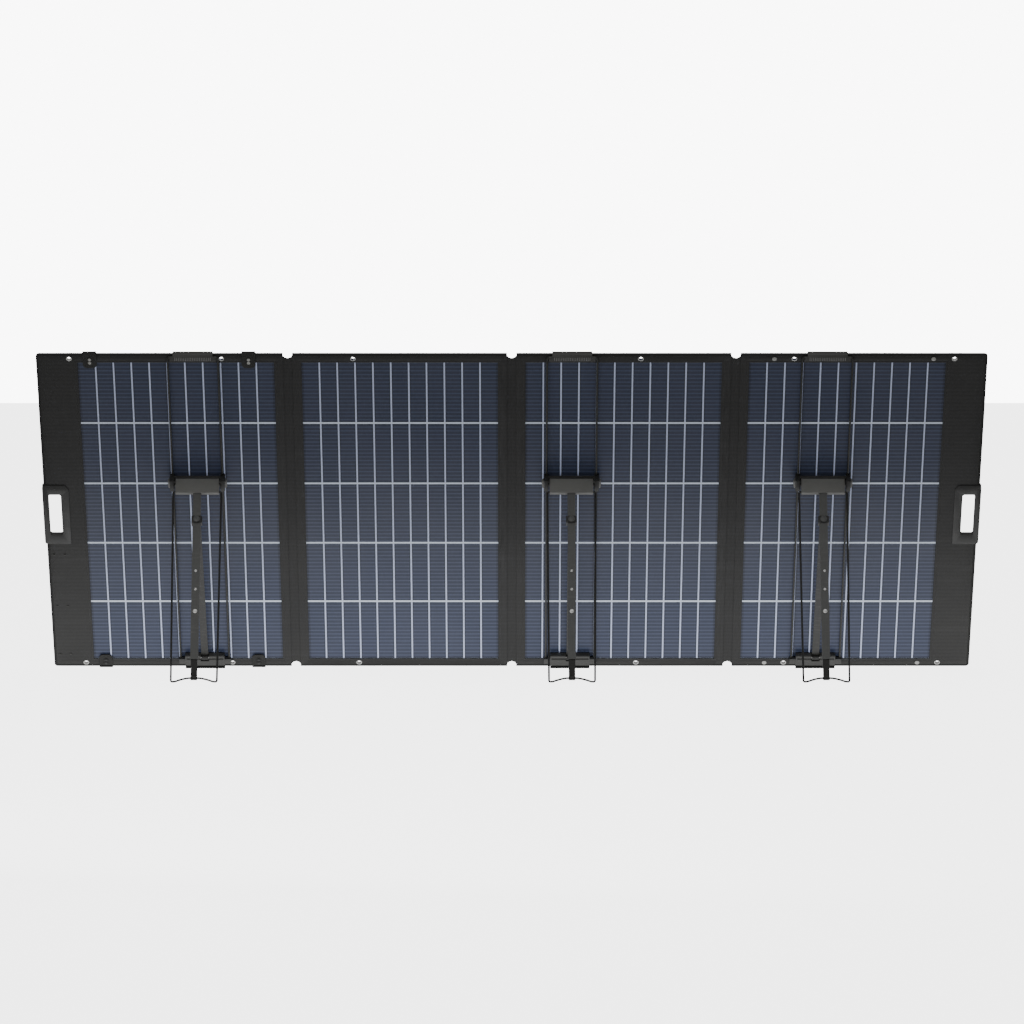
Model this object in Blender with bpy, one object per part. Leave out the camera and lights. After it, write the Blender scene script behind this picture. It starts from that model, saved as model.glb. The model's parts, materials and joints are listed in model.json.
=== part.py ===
"""Folding solar panel: four laminate sections in fabric covers, held up by three folding wire stands.

Lengths are millimetres in the panel's own frame: x runs along the bottom edge from its middle,
y runs up the panel from the bottom edge, and z comes out of the back. The panel frame is then
tilted and set down on its stands, in metres with +Z up and the back facing -Y.
"""
import math

import bmesh
import bpy
from mathutils import Vector

MM = 0.001
GAP = 0.3                    # between pieces that touch
ARC_STEPS = 4                # segments in a rounded corner

# Panel sections
PANEL_HEIGHT = 820.0
MIDDLE_WIDTH = 432.4         # fold line to fold line
END_WIDTH = MIDDLE_WIDTH + 52.7              # last fold line to outer edge
FOLD_X = MIDDLE_WIDTH
OUTER_X = MIDDLE_WIDTH + END_WIDTH
COVER_THICK = 6.0
HALF_COVER = COVER_THICK / 2
BACK_Z = HALF_COVER + 0.4    # where a fitting lies on the back
OUTER_CORNER = 7.0
SEWN_CORNER = 1.5            # every other corner of a cover, and the laminate's
WINDOW_WIDTH = MIDDLE_WIDTH - 53.4
WINDOW_HEIGHT = PANEL_HEIGHT - 41.0
FOLD_MARGIN = 26.0           # fold line to an end section's window
LAMINATE_THICK = COVER_THICK - 3.6
LAMINATE_TUCK = 8.0          # laminate edge held inside the cover
EYELET_RADIUS = 4.5
EYELET_INSET = 10.5          # from the top or bottom edge
EYELET_PLACES = {1: (64.0 - OUTER_X, -127.6 - FOLD_X), 2: (126.4 - FOLD_X,),
                 3: (FOLD_X - 183.4,), 4: (FOLD_X + 112.6, OUTER_X - 64.0)}

# Fabric hinges
HINGE_HALF = 9.0             # cover edge to fold line
HINGE_THICK = COVER_THICK / 2
NOTCH_DEPTH = HINGE_HALF + 3.0

# Handles
HANDLE_WIDTH = 52.0
HANDLE_HEIGHT = 154.0
HANDLE_BOTTOM = (PANEL_HEIGHT - HANDLE_HEIGHT) / 2 - 2.5
HANDLE_OVERHANG = 3.5        # past the outer edge
HANDLE_THICK = COVER_THICK + 3.0
HANDLE_GRASP = 8.0           # depth of cover between its two lips
CHAMFER_IN, CHAMFER_DOWN = 6.0, 12.0
GRIP_WIDTH = 24.3
GRIP_HEIGHT = HANDLE_HEIGHT - 49.0
GRIP_FROM_EDGE = 8.2         # grip opening to outer edge
GRIP_CORNER = 4.0

# Closing straps and junction box
STRAP_PLACES = (103.8 - OUTER_X, -74.9 - FOLD_X)
STRAP_WIDTH = 27.0
STRAP_LENGTH = 33.0
STRAP_LOOP = 3.2             # slack over the top edge
STRAP_THICK = 1.5
BOX_CENTRE_X = 23.3 - OUTER_X
BOX_WIDTH = 36.0
BOX_BOTTOM, BOX_TOP = 22.0, HANDLE_BOTTOM - 18.5
BOX_DEPTH = 13.5
BOX_CORNER = 5.0
GLAND_RADIUS = 5.5
GLAND_LENGTH = 9.0
GLAND_SPACING = 15.0
END_FOLD_DEPTH = -HANDLE_THICK / 2 - 0.5     # axis in front of the covers, for ends that close onto the front

# Stands: panel-side wire and its hooks
STAND_PLACES = {1: -182.3 - FOLD_X, 2: 116.7, 3: FOLD_X + 176.3}
STAND_SECTION = {1: 1, 2: 3, 3: 4}
WIRE_RADIUS = 2.0
WIRE_HOLE = WIRE_RADIUS + 0.4                # running clearance round the wire
WIRE_HALF = 48.5             # rod to centre line
WIRE_Z = BACK_Z + WIRE_RADIUS + 1.1
WIRE_BOTTOM = 19.0
WIRE_TOP_INSET = 3.6         # cross run below the top edge
WIRE_TOP = PANEL_HEIGHT - WIRE_TOP_INSET
WIRE_BEND = 5.0
HOOK_HALF = WIRE_HALF - 10.0
HOOK_FLANGE_HALF = WIRE_HALF - 4.0
HOOK_DOWN = 12.4             # reach down the back
HOOK_OVER = 2.5              # above the top edge
HOOK_BACK = WIRE_Z + 4.0
HOOK_LIP = 3.4               # reach down the front
HOOK_TRAVEL = 4.0
LIP_THICK = 2.0
BRACKET_HALF = WIRE_HALF - 9.1
BRACKET_EAR_HALF = WIRE_HALF + WIRE_RADIUS
BRACKET_UNDER = 5.0          # below the bottom edge
SOLE_START_Z = BACK_Z + 0.1
SOLE_LENGTH = 8.0
BLOCK_TOP = 37.5

# Stands: carriage, leg and strut
CARRIAGE_Y = 502.0           # leg pivot up the panel, stand open
PIVOT_Z = WIRE_Z + 13.5
CARRIAGE_HALF = WIRE_HALF + WIRE_RADIUS + 3.5
CARRIAGE_INNER = WIRE_HALF - WIRE_RADIUS - 1.5
CARRIAGE_TALL = 26.0
PLATE_LOW, PLATE_HIGH = WIRE_Z + WIRE_RADIUS + 0.7, WIRE_Z + WIRE_RADIUS + 3.7
CHEEK_HIGH = PIVOT_Z + 6.5
AXLE_RADIUS = 2.5
AXLE_HOLE = AXLE_RADIUS + GAP
AXLE_HALF = CARRIAGE_INNER + 2.0
BUTTON_TALL = 15.2
BUTTON_LOW, BUTTON_HIGH = PIVOT_Z - 9.2, PIVOT_Z + 2.6
BUTTON_OUT = CARRIAGE_HALF + 4.0
BUTTON_IN = CARRIAGE_HALF - 1.6
BUTTON_TRAVEL = 2.0
HEAD_HALF = CARRIAGE_INNER - 2.5
HEAD_RADIUS = AXLE_RADIUS + 4.0
HEAD_UP = 10.0               # lip in front of the axle
HEAD_DOWN = 20.0
OPEN_ANGLE = 63.0            # leg to panel, stand open
LEG_LENGTH = 411.0           # pivot to the middle of the foot wire's bends
LEG_WIRE_TOP = 17.0
LEG_WIRE_TOP_HALF = WIRE_HALF - 1.5
LEG_WIRE_FOOT_HALF = WIRE_HALF - 4.0
FOOT_RISE = 8.0
CHANNEL_HALF = 7.7
CHANNEL_DEEP = 6.0
CHANNEL_WALL = 1.0
CHANNEL_START = 9.0
CHANNEL_END = LEG_LENGTH - 46.0
BAR_HALF = CHANNEL_HALF - CHANNEL_WALL - GAP
BAR_START = 170.0
BAR_LOW, BAR_HIGH = -2.4, 1.4
BAR_EYE = WIRE_RADIUS + 2.3
KNUCKLE_DOWN = 75.0
KNUCKLE_TALL = 14.0
KNUCKLE_WALL = 2.2
KNUCKLE_BOSS = 6.6
PIN_DROP = 10.4              # strut pin to the leg's middle plane
KNUCKLE_PIN = 2.0
BRACKET_PIN_Y = 30.0
BRACKET_PIN_Z = PIVOT_Z - PIN_DROP
BLOCK_BACK = BRACKET_PIN_Z + 4.9
HINGE_PIN = 1.8
HINGE_HOLE = HINGE_PIN + GAP
STRUT_HALF = CHANNEL_HALF - 0.7
STRUT_THICK = 2.3
STRUT_EYE = HINGE_PIN + 2.9
STRUT_LIP = -0.1             # end hook's reach past the knuckle pin's middle
STRUT_GAP_HALF = STRUT_HALF + 1.3
OPEN = math.radians(OPEN_ANGLE)


def leg_point(down, out):
    """Panel-frame (y, z) of a point `down` the open leg and `out` from its middle plane."""
    return (CARRIAGE_Y - down * math.cos(OPEN) + out * math.sin(OPEN),
            PIVOT_Z + down * math.sin(OPEN) + out * math.cos(OPEN))


KNUCKLE_Y, KNUCKLE_Z = leg_point(KNUCKLE_DOWN, -PIN_DROP)
STRUT_LENGTH = math.hypot(KNUCKLE_Y - BRACKET_PIN_Y, KNUCKLE_Z - BRACKET_PIN_Z)
STRUT_ANGLE = math.atan2(KNUCKLE_Z - BRACKET_PIN_Z, KNUCKLE_Y - BRACKET_PIN_Y)
FOOT_Y, FOOT_Z = leg_point(LEG_LENGTH, 0.0)

# The tilt sets the bracket soles and the foot wires on one level: A sin(t) - B cos(t) = wire radius
SOLE_TO_FOOT_Y = FOOT_Y + BRACKET_UNDER
SOLE_TO_FOOT_Z = FOOT_Z - SOLE_START_Z
TILT = math.atan2(SOLE_TO_FOOT_Z, SOLE_TO_FOOT_Y) + math.asin(
    WIRE_RADIUS / math.hypot(SOLE_TO_FOOT_Y, SOLE_TO_FOOT_Z))


# ---------------------------------------------------------------- scene helpers

class Pivot:
    """An empty on a joint's axis, which knows its place in the panel's frame."""

    def __init__(self, name, at=(0.0, 0.0, 0.0), parent=None, turn=0.0):
        self.at = Vector(at)
        self.empty = bpy.data.objects.new(name, None)
        bpy.context.scene.collection.objects.link(self.empty)
        if parent is not None:
            self.empty.parent = parent.empty
            self.empty.location = (self.at - parent.at) * MM
        self.empty.rotation_euler = (turn, 0.0, 0.0)


def finish(name, colour, roughness, metallic=0.0):
    """A Principled material."""
    material = bpy.data.materials.new(name)
    material.use_nodes = True
    shader = material.node_tree.nodes["Principled BSDF"]
    shader.inputs["Base Color"].default_value = (*colour, 1.0)
    shader.inputs["Roughness"].default_value = roughness
    shader.inputs["Metallic"].default_value = metallic
    return material


def link(name, data, material=None, pivot=None, home=None):
    """Put mesh or curve data in the scene, under a pivot; `home` is its origin in the panel frame."""
    body = bpy.data.objects.new(name, data)
    bpy.context.scene.collection.objects.link(body)
    if material is not None:
        data.materials.append(material)
    if pivot is not None:
        body.parent = pivot.empty
        body.location = (Vector(home if home is not None else pivot.at) - pivot.at) * MM
    return body


def mesh_from(name, bm):
    """Turn a bmesh in millimetres into a mesh in metres with its faces pointing out."""
    bmesh.ops.recalc_face_normals(bm, faces=bm.faces[:])
    bmesh.ops.scale(bm, vec=(MM, MM, MM), verts=bm.verts[:])
    mesh = bpy.data.meshes.new(name)
    bm.to_mesh(mesh)
    bm.free()
    return mesh


def loft(name, loops, closed=False):
    """Bridge loops of equally many points; the ends are capped, or joined when closed."""
    bm = bmesh.new()
    rings = [[bm.verts.new(point) for point in loop] for loop in loops]
    count = len(loops[0])
    pairs = list(zip(rings, rings[1:]))
    if closed:
        pairs.append((rings[-1], rings[0]))
    else:
        bm.faces.new(rings[0])
        bm.faces.new(rings[-1])
    for low, high in pairs:
        for i in range(count):
            j = (i + 1) % count
            bm.faces.new((low[i], low[j], high[j], high[i]))
    return mesh_from(name, bm)


def prism(name, outline, axis, low, high):
    """Sweep a flat outline along one axis: (y, z) along X, (x, z) along Y or (x, y) along Z."""
    order = {"X": lambda a, b, s: (s, a, b), "Y": lambda a, b, s: (a, s, b), "Z": lambda a, b, s: (a, b, s)}
    place = order[axis]
    return loft(name, [[place(a, b, s) for a, b in outline] for s in (low, high)])


def box(name, low, high):
    """A rectangular block between two corners."""
    outline = [(low[0], low[1]), (high[0], low[1]), (high[0], high[1]), (low[0], high[1])]
    return prism(name, outline, "Z", low[2], high[2])


def arc(centre, radius, start, end, steps=ARC_STEPS):
    """Points on an arc, angles in degrees."""
    angles = [math.radians(start + (end - start) * i / steps) for i in range(steps + 1)]
    return [(centre[0] + radius * math.cos(a), centre[1] + radius * math.sin(a)) for a in angles]


def circle(centre, radius, steps=16):
    """Points round a circle."""
    return arc(centre, radius, 0.0, 360.0, steps)[:-1]


def rounded_rectangle(low, high, radii):
    """A rectangle's outline with a radius at each corner, from the low corner counter-clockwise."""
    (x0, y0), (x1, y1) = low, high
    a, b, c, d = radii
    return (arc((x0 + a, y0 + a), a, 180, 270) + arc((x1 - b, y0 + b), b, 270, 360)
            + arc((x1 - c, y1 - c), c, 0, 90) + arc((x0 + d, y1 - d), d, 90, 180))


def bend(points, radius, steps=ARC_STEPS):
    """Round the inner corners of an open route of flat points."""
    route = [points[0]]
    for before, corner, after in zip(points, points[1:], points[2:]):
        here = Vector(corner)
        back = (Vector(before) - here).normalized()
        ahead = (Vector(after) - here).normalized()
        half = back.angle(ahead) / 2
        middle = here + (back + ahead).normalized() * (radius / math.sin(half))
        start = here + back * (radius / math.tan(half)) - middle
        sweep = start.angle_signed(here + ahead * (radius / math.tan(half)) - middle)
        for i in range(steps + 1):
            turn = -sweep * i / steps
            route.append((middle.x + start.x * math.cos(turn) - start.y * math.sin(turn),
                          middle.y + start.x * math.sin(turn) + start.y * math.cos(turn)))
    route.append(points[-1])
    return route


def wire(name, route, radius, z=0.0, cyclic=False):
    """Round wire along a flat route at one height."""
    curve = bpy.data.curves.new(name, "CURVE")
    curve.dimensions = "3D"
    curve.bevel_depth = radius * MM
    curve.bevel_resolution = 2
    curve.use_fill_caps = True
    spline = curve.splines.new("POLY")
    spline.points.add(len(route) - 1)
    for point, (x, y) in zip(spline.points, route):
        point.co = (x * MM, y * MM, z * MM, 1.0)
    spline.use_cyclic_u = cyclic
    return curve


def combine(body, data, operation):
    """Join a helper shape onto a body, or cut it away; the helper shares the body's place."""
    helper = link(body.name + "_" + operation.lower(), data)
    helper.parent = body.parent
    helper.location = body.location
    helper.display_type = "WIRE"
    helper.hide_render = True
    modifier = body.modifiers.new(operation.title(), "BOOLEAN")
    modifier.operation = operation
    modifier.solver = "EXACT"
    modifier.object = helper


def solid_wire(name, route, radius, z):
    """A closed wire as a mesh, for cutting its tunnel."""
    guide = bpy.data.objects.new(name, wire(name, route, radius, z, cyclic=True))
    mesh = bpy.data.meshes.new_from_object(guide)
    bpy.data.objects.remove(guide, do_unlink=True)
    return mesh


def cut(body, data):
    """Cut a shape away."""
    combine(body, data, "DIFFERENCE")


def fuse(body, data):
    """Join a shape on."""
    combine(body, data, "UNION")


def rod(name, radius, y, z, low, high, steps=16):
    """A round bar along x."""
    return prism(name, circle((y, z), radius, steps), "X", low, high)


# ---------------------------------------------------------------- panel

def section_limits(section):
    """The x range of a section's cover and of its window."""
    if section in (2, 3):
        side = -1 if section == 2 else 1
        middle = side * MIDDLE_WIDTH / 2
        cover = (middle - MIDDLE_WIDTH / 2 + HINGE_HALF, middle + MIDDLE_WIDTH / 2 - HINGE_HALF)
        return cover, (middle - WINDOW_WIDTH / 2, middle + WINDOW_WIDTH / 2)
    low, high = FOLD_X + HINGE_HALF, OUTER_X
    window = (FOLD_X + FOLD_MARGIN, FOLD_X + FOLD_MARGIN + WINDOW_WIDTH)
    if section == 4:
        return (low, high), window
    return (-high, -low), (-window[1], -window[0])


def flat_loop(outline, z):
    """Raise a flat outline to one height."""
    return [(x, y, z) for x, y in outline]


def make_cover(section, pivot, material):
    """A fabric cover: a frame with a groove inside its window for the laminate's edge."""
    (left, right), window = section_limits(section)
    small = SEWN_CORNER
    outer_left = OUTER_CORNER if section == 1 else small
    outer_right = OUTER_CORNER if section == 4 else small
    border = (PANEL_HEIGHT - WINDOW_HEIGHT) / 2
    groove = LAMINATE_TUCK + GAP
    half_groove = LAMINATE_THICK / 2 + GAP
    outside = rounded_rectangle((left, 0.0), (right, PANEL_HEIGHT),
                                (outer_left, outer_right, outer_right, outer_left))
    opening = rounded_rectangle((window[0], border), (window[1], PANEL_HEIGHT - border), (small,) * 4)
    pocket = rounded_rectangle((window[0] - groove, border - groove),
                               (window[1] + groove, PANEL_HEIGHT - border + groove), (small,) * 4)
    loops = [flat_loop(outside, HALF_COVER), flat_loop(opening, HALF_COVER),
             flat_loop(opening, half_groove), flat_loop(pocket, half_groove),
             flat_loop(pocket, -half_groove), flat_loop(opening, -half_groove),
             flat_loop(opening, -HALF_COVER), flat_loop(outside, -HALF_COVER)]
    name = f"cover_{section}"
    cover = link(name, loft(name, loops, closed=True), material, pivot, (0, 0, 0))
    for x in EYELET_PLACES[section]:
        for y in (EYELET_INSET, PANEL_HEIGHT - EYELET_INSET):
            cut(cover, prism("eyelet_hole", circle((x, y), EYELET_RADIUS), "Z", -COVER_THICK, COVER_THICK))
    if section in (1, 4):
        side = -1 if section == 1 else 1
        notch = handle_outline(side, HANDLE_GRASP - GAP, -3 * HANDLE_OVERHANG)
        cut(cover, prism("handle_notch", notch, "Z", -COVER_THICK, COVER_THICK))
    return cover


def make_laminate(section, pivot, material):
    """The cell laminate, with its edge inside the cover's groove."""
    _, window = section_limits(section)
    border = (PANEL_HEIGHT - WINDOW_HEIGHT) / 2
    name = f"laminate_{section}"
    outline = rounded_rectangle((window[0] - LAMINATE_TUCK, border - LAMINATE_TUCK),
                                (window[1] + LAMINATE_TUCK, PANEL_HEIGHT - border + LAMINATE_TUCK),
                                (SEWN_CORNER,) * 4)
    data = prism(name, outline, "Z", -LAMINATE_THICK / 2, LAMINATE_THICK / 2)
    return link(name, data, material, pivot, (0, 0, 0))


def make_fabric_hinge(number, x, pivot, material):
    """The fabric strip across a fold line, with a half-round notch at each end."""
    half = HINGE_HALF - GAP
    top = PANEL_HEIGHT - NOTCH_DEPTH + half
    outline = arc((x, NOTCH_DEPTH - half), half, 180, 0, 10) + arc((x, top), half, 360, 180, 10)
    name = f"fabric_hinge_{number}"
    data = prism(name, outline, "Z", -HINGE_THICK / 2, HINGE_THICK / 2)
    return link(name, data, material, pivot, (0, 0, 0))


def handle_outline(side, inset=0.0, edge_inset=0.0):
    """The handle's outline, drawn in by `inset` and, at its outer edge, by `edge_inset`."""
    inner = OUTER_X + HANDLE_OVERHANG - HANDLE_WIDTH + inset
    outer = OUTER_X + HANDLE_OVERHANG - edge_inset
    bottom = HANDLE_BOTTOM + inset
    top = HANDLE_BOTTOM + HANDLE_HEIGHT - inset
    points = (arc((inner + 3, bottom + 3), 3, 180, 270) + arc((outer - 6, bottom + 6), 6, 270, 360)
              + arc((outer - 6, top - 6), 6, 0, 90)
              + [(inner + CHAMFER_IN, top), (inner, top - CHAMFER_DOWN)])
    return [(side * x, y) for x, y in points]


def make_handle(name, side, pivot, material):
    """A moulded handle whose two lips clasp the cover round a grip opening."""
    face, lip = HANDLE_THICK / 2, HALF_COVER + GAP
    full = handle_outline(side)
    core = handle_outline(side, HANDLE_GRASP, 0.8)
    loops = [flat_loop(full, -face), flat_loop(full, -lip), flat_loop(core, -lip),
             flat_loop(core, lip), flat_loop(full, lip), flat_loop(full, face)]
    handle = link(name, loft(name, loops), material, pivot, (0, 0, 0))
    middle = HANDLE_BOTTOM + HANDLE_HEIGHT / 2
    outer = OUTER_X - GRIP_FROM_EDGE
    grip = rounded_rectangle((outer - GRIP_WIDTH, middle - GRIP_HEIGHT / 2),
                             (outer, middle + GRIP_HEIGHT / 2), (GRIP_CORNER,) * 4)
    cut(handle, prism("grip", [(side * x, y) for x, y in grip], "Z", -HANDLE_THICK, HANDLE_THICK))
    return handle


def make_strap(name, x, at_top, parent, material):
    """A closing strap: folded over the edge and lying on the back, hinged at the front of the edge."""
    loop = STRAP_LOOP if at_top else GAP
    far = loop + STRAP_THICK
    back = HALF_COVER + GAP
    profile = [(-loop, -HALF_COVER), (-far, -HALF_COVER), (-far, back + STRAP_THICK),
               (STRAP_LENGTH, back + STRAP_THICK), (STRAP_LENGTH, back), (-loop, back)]
    edge = PANEL_HEIGHT if at_top else 0.0
    sign = -1.0 if at_top else 1.0
    profile = [(edge + sign * y, z) for y, z in profile]
    pivot = Pivot(name + "_axis", (x, edge - sign * far, -HALF_COVER), parent)
    data = prism(name, profile, "X", -STRAP_WIDTH / 2, STRAP_WIDTH / 2)
    return link(name, data, material, pivot, (x, 0, 0))


def make_junction_box(pivot, material):
    """The junction box on the sun side, with two output glands at its lower end."""
    near, far = -BACK_Z, -BACK_Z - BOX_DEPTH
    outline = rounded_rectangle((BOX_CENTRE_X - BOX_WIDTH / 2, BOX_BOTTOM),
                                (BOX_CENTRE_X + BOX_WIDTH / 2, BOX_TOP), (BOX_CORNER,) * 4)
    name = "junction_box"
    body = link(name, prism(name, outline, "Z", far, near), material, pivot, (0, 0, 0))
    for side in (-1, 1):
        gland = circle((BOX_CENTRE_X + side * GLAND_SPACING / 2, (near + far) / 2), GLAND_RADIUS)
        fuse(body, prism("gland", gland, "Y", BOX_BOTTOM - GLAND_LENGTH, BOX_BOTTOM + 2.0))
    return body


# ---------------------------------------------------------------- stands

def wire_route():
    """The closed route of the panel-side wire."""
    return rounded_rectangle((-WIRE_HALF, WIRE_BOTTOM), (WIRE_HALF, WIRE_TOP), (WIRE_BEND,) * 4)


def make_top_hook(number, x, pivot, material):
    """The sliding hook that holds the wire to the panel's top edge."""
    name = f"top_hook_{number}"
    top, inner = PANEL_HEIGHT + HOOK_OVER, PANEL_HEIGHT + 0.4
    low = PANEL_HEIGHT - HOOK_DOWN
    profile = [(low, BACK_Z), (inner, BACK_Z), (inner, -BACK_Z), (PANEL_HEIGHT - HOOK_LIP, -BACK_Z),
               (PANEL_HEIGHT - HOOK_LIP, -BACK_Z - LIP_THICK), (top - 1.5, -BACK_Z - LIP_THICK),
               (top, -BACK_Z - LIP_THICK + 1.5), (top, HOOK_BACK - 3.0), (top - 3.0, HOOK_BACK),
               (low + 2.0, HOOK_BACK), (low, HOOK_BACK - 2.0)]
    hook = link(name, prism(name, profile, "X", -HOOK_HALF, HOOK_HALF), material, pivot, (x, 0, 0))
    fuse(hook, box("flanges", (-HOOK_FLANGE_HALF, low + 0.6, BACK_Z + 0.2),
                   (HOOK_FLANGE_HALF, PANEL_HEIGHT - 1.2, HOOK_BACK - 0.6)))
    slot_low = WIRE_TOP - WIRE_HOLE - HOOK_TRAVEL
    cut(hook, box("wire_slot", (-2 * HOOK_HALF, slot_low, 0.0),
                  (2 * HOOK_HALF, WIRE_TOP + WIRE_HOLE, WIRE_Z + WIRE_HOLE)))
    return hook


def make_bracket(number, x, pivot, material):
    """The bottom bracket: edge hook, level sole, wire clamp and strut hinge."""
    name = f"bottom_bracket_{number}"
    sole_end = (-BRACKET_UNDER + SOLE_LENGTH * math.cos(TILT), SOLE_START_Z + SOLE_LENGTH * math.sin(TILT))
    clamp_back = WIRE_Z + WIRE_HOLE + 2.6
    profile = [(8.0, -BACK_Z - LIP_THICK), (-BRACKET_UNDER, -BACK_Z - LIP_THICK),
               (-BRACKET_UNDER, SOLE_START_Z), sole_end, (13.0, clamp_back), (22.0, clamp_back),
               (23.5, BLOCK_BACK), (BLOCK_TOP - 1.5, BLOCK_BACK), (BLOCK_TOP, BLOCK_BACK - 1.5),
               (BLOCK_TOP, BACK_Z), (-0.4, BACK_Z), (-0.4, -BACK_Z), (8.0, -BACK_Z)]
    bracket = link(name, prism(name, profile, "X", -BRACKET_HALF, BRACKET_HALF), material, pivot, (x, 0, 0))
    fuse(bracket, box("ears", (-BRACKET_EAR_HALF - 1.5, WIRE_BOTTOM - 5.5, BACK_Z + 0.1),
                      (BRACKET_EAR_HALF + 1.5, WIRE_BOTTOM + 7.5, clamp_back - 0.4)))
    cut(bracket, box("strut_gap", (-STRUT_GAP_HALF, 23.0, BRACKET_PIN_Z - STRUT_EYE - 0.3),
                     (STRUT_GAP_HALF, BLOCK_TOP + 5.0, BLOCK_BACK + 5.0)))
    half = BRACKET_HALF - 2.0
    cut(bracket, rod("pin_hole", HINGE_HOLE, BRACKET_PIN_Y, BRACKET_PIN_Z, -half, half))
    cut(bracket, box("pin_mouth", (-half + 0.5, BRACKET_PIN_Y - HINGE_PIN + 0.4, BRACKET_PIN_Z),
                     (half - 0.5, BRACKET_PIN_Y + HINGE_PIN - 0.4, BLOCK_BACK + 5.0)))
    cut(bracket, solid_wire("wire_tunnel", wire_route(), WIRE_HOLE, WIRE_Z))
    return bracket


def make_carriage(number, x, pivot, material):
    """The carriage: a plate and two cheeks that run on the wire's rods."""
    name = f"carriage_{number}"
    out, inn = CARRIAGE_HALF, CARRIAGE_INNER
    half_section = [(inn, BACK_Z + 0.2), (out, BACK_Z + 0.2), (out, CHEEK_HIGH - 2.0), (out - 2.0, CHEEK_HIGH),
                    (inn + 1.0, CHEEK_HIGH), (inn, CHEEK_HIGH - 1.0), (inn, PLATE_HIGH)]
    other = [(-a, b) for a, b in reversed(half_section)]
    section = half_section + other + [(-inn, PLATE_LOW), (inn, PLATE_LOW)]
    low, high = CARRIAGE_Y - CARRIAGE_TALL / 2, CARRIAGE_Y + CARRIAGE_TALL / 2
    carriage = link(name, prism(name, section, "Y", low, high), material, pivot, (x, 0, 0))
    for side in (-1, 1):
        cut(carriage, prism("rod_hole", circle((side * WIRE_HALF, WIRE_Z), WIRE_HOLE, 12), "Y",
                            low - 5.0, high + 5.0))
        deep, wide = side * (BUTTON_IN - BUTTON_TRAVEL - 0.5), side * (CARRIAGE_HALF + 5.0)
        cut(carriage, box("button_pocket",
                          (min(deep, wide), CARRIAGE_Y - BUTTON_TALL / 2 - 0.4, BUTTON_LOW - 0.4),
                          (max(deep, wide), CARRIAGE_Y + BUTTON_TALL / 2 + 0.4, BUTTON_HIGH + 0.4)))
    cut(carriage, rod("axle_hole", AXLE_HOLE, CARRIAGE_Y, PIVOT_Z, -AXLE_HALF - 0.4, AXLE_HALF + 0.4))
    return carriage


def make_button(name, x, side, carriage, material):
    """A squeeze button in one cheek of the carriage, pressed inwards."""
    pivot = Pivot(name + "_axis", (x + side * BUTTON_OUT, CARRIAGE_Y, PIVOT_Z), carriage)
    crown = [(BUTTON_IN, BUTTON_LOW), (BUTTON_OUT - 2.5, BUTTON_LOW), (BUTTON_OUT - 0.6, BUTTON_LOW + 3.0),
             (BUTTON_OUT, (BUTTON_LOW + BUTTON_HIGH) / 2), (BUTTON_OUT - 0.6, BUTTON_HIGH - 3.0),
             (BUTTON_OUT - 2.5, BUTTON_HIGH), (BUTTON_IN, BUTTON_HIGH)]
    data = prism(name, [(side * a, b) for a, b in crown], "Y", -BUTTON_TALL / 2, BUTTON_TALL / 2)
    return link(name, data, material, pivot, (x, CARRIAGE_Y, 0))


def make_leg_head(number, leg, material):
    """The head: turns on the axle, takes the channel in its middle and the leg wire at its ends."""
    name = f"leg_head_{number}"
    profile = arc((0, 0), HEAD_RADIUS, -90, 0, 5) + [
        (HEAD_UP, HEAD_RADIUS - 2.5), (HEAD_UP, HEAD_RADIUS - 1.0), (HEAD_UP - 1.0, HEAD_RADIUS),
        (-HEAD_DOWN + 1.5, HEAD_RADIUS), (-HEAD_DOWN, HEAD_RADIUS - 1.5),
        (-HEAD_DOWN, -HEAD_RADIUS + 1.5), (-HEAD_DOWN + 1.5, -HEAD_RADIUS)]
    head = link(name, prism(name, profile, "X", -HEAD_HALF, HEAD_HALF), material, leg)
    cut(head, rod("axle_hole", AXLE_HOLE, 0.0, 0.0, -2 * HEAD_HALF, 2 * HEAD_HALF))
    cut(head, box("channel_socket", (-CHANNEL_HALF - 0.4, -2 * HEAD_DOWN, -CHANNEL_DEEP / 2 - 0.4),
                  (CHANNEL_HALF + 0.4, -CHANNEL_START + 0.4, CHANNEL_DEEP / 2 + 0.4)))
    for side in (-1, 1):
        ends = sorted((side * (HEAD_HALF - 9.0), side * (HEAD_HALF + 5.0)))
        cut(head, rod("wire_socket", WIRE_HOLE, -LEG_WIRE_TOP, 0.0, ends[0], ends[1], 12))
    return head


def make_leg_channel(number, leg, material):
    """The leg's upper bar: a thin channel, open towards the panel."""
    name = f"leg_channel_{number}"
    out, deep = CHANNEL_HALF, CHANNEL_DEEP / 2
    inn = out - CHANNEL_WALL
    section = [(-out, -deep), (-inn, -deep), (-inn, deep - CHANNEL_WALL), (inn, deep - CHANNEL_WALL),
               (inn, -deep), (out, -deep), (out, deep), (-out, deep)]
    return link(name, prism(name, section, "Y", -CHANNEL_END, -CHANNEL_START), material, leg)


def make_foot_bar(number, leg, material):
    """The leg's lower bar, inside the channel, with an eye for the foot wire."""
    name = f"foot_bar_{number}"
    eye_y = -LEG_LENGTH + FOOT_RISE
    upper = math.degrees(math.asin(BAR_HIGH / BAR_EYE))
    lower = math.degrees(math.asin(BAR_LOW / BAR_EYE))
    profile = arc((eye_y, 0), BAR_EYE, upper, 360 + lower, 14)
    profile = profile + [(-BAR_START, BAR_LOW), (-BAR_START, BAR_HIGH)]
    bar = link(name, prism(name, profile, "X", -BAR_HALF, BAR_HALF), material, leg)
    cut(bar, rod("foot_eye", WIRE_HOLE, eye_y, 0.0, -2 * BAR_HALF, 2 * BAR_HALF, 12))
    return bar


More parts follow.
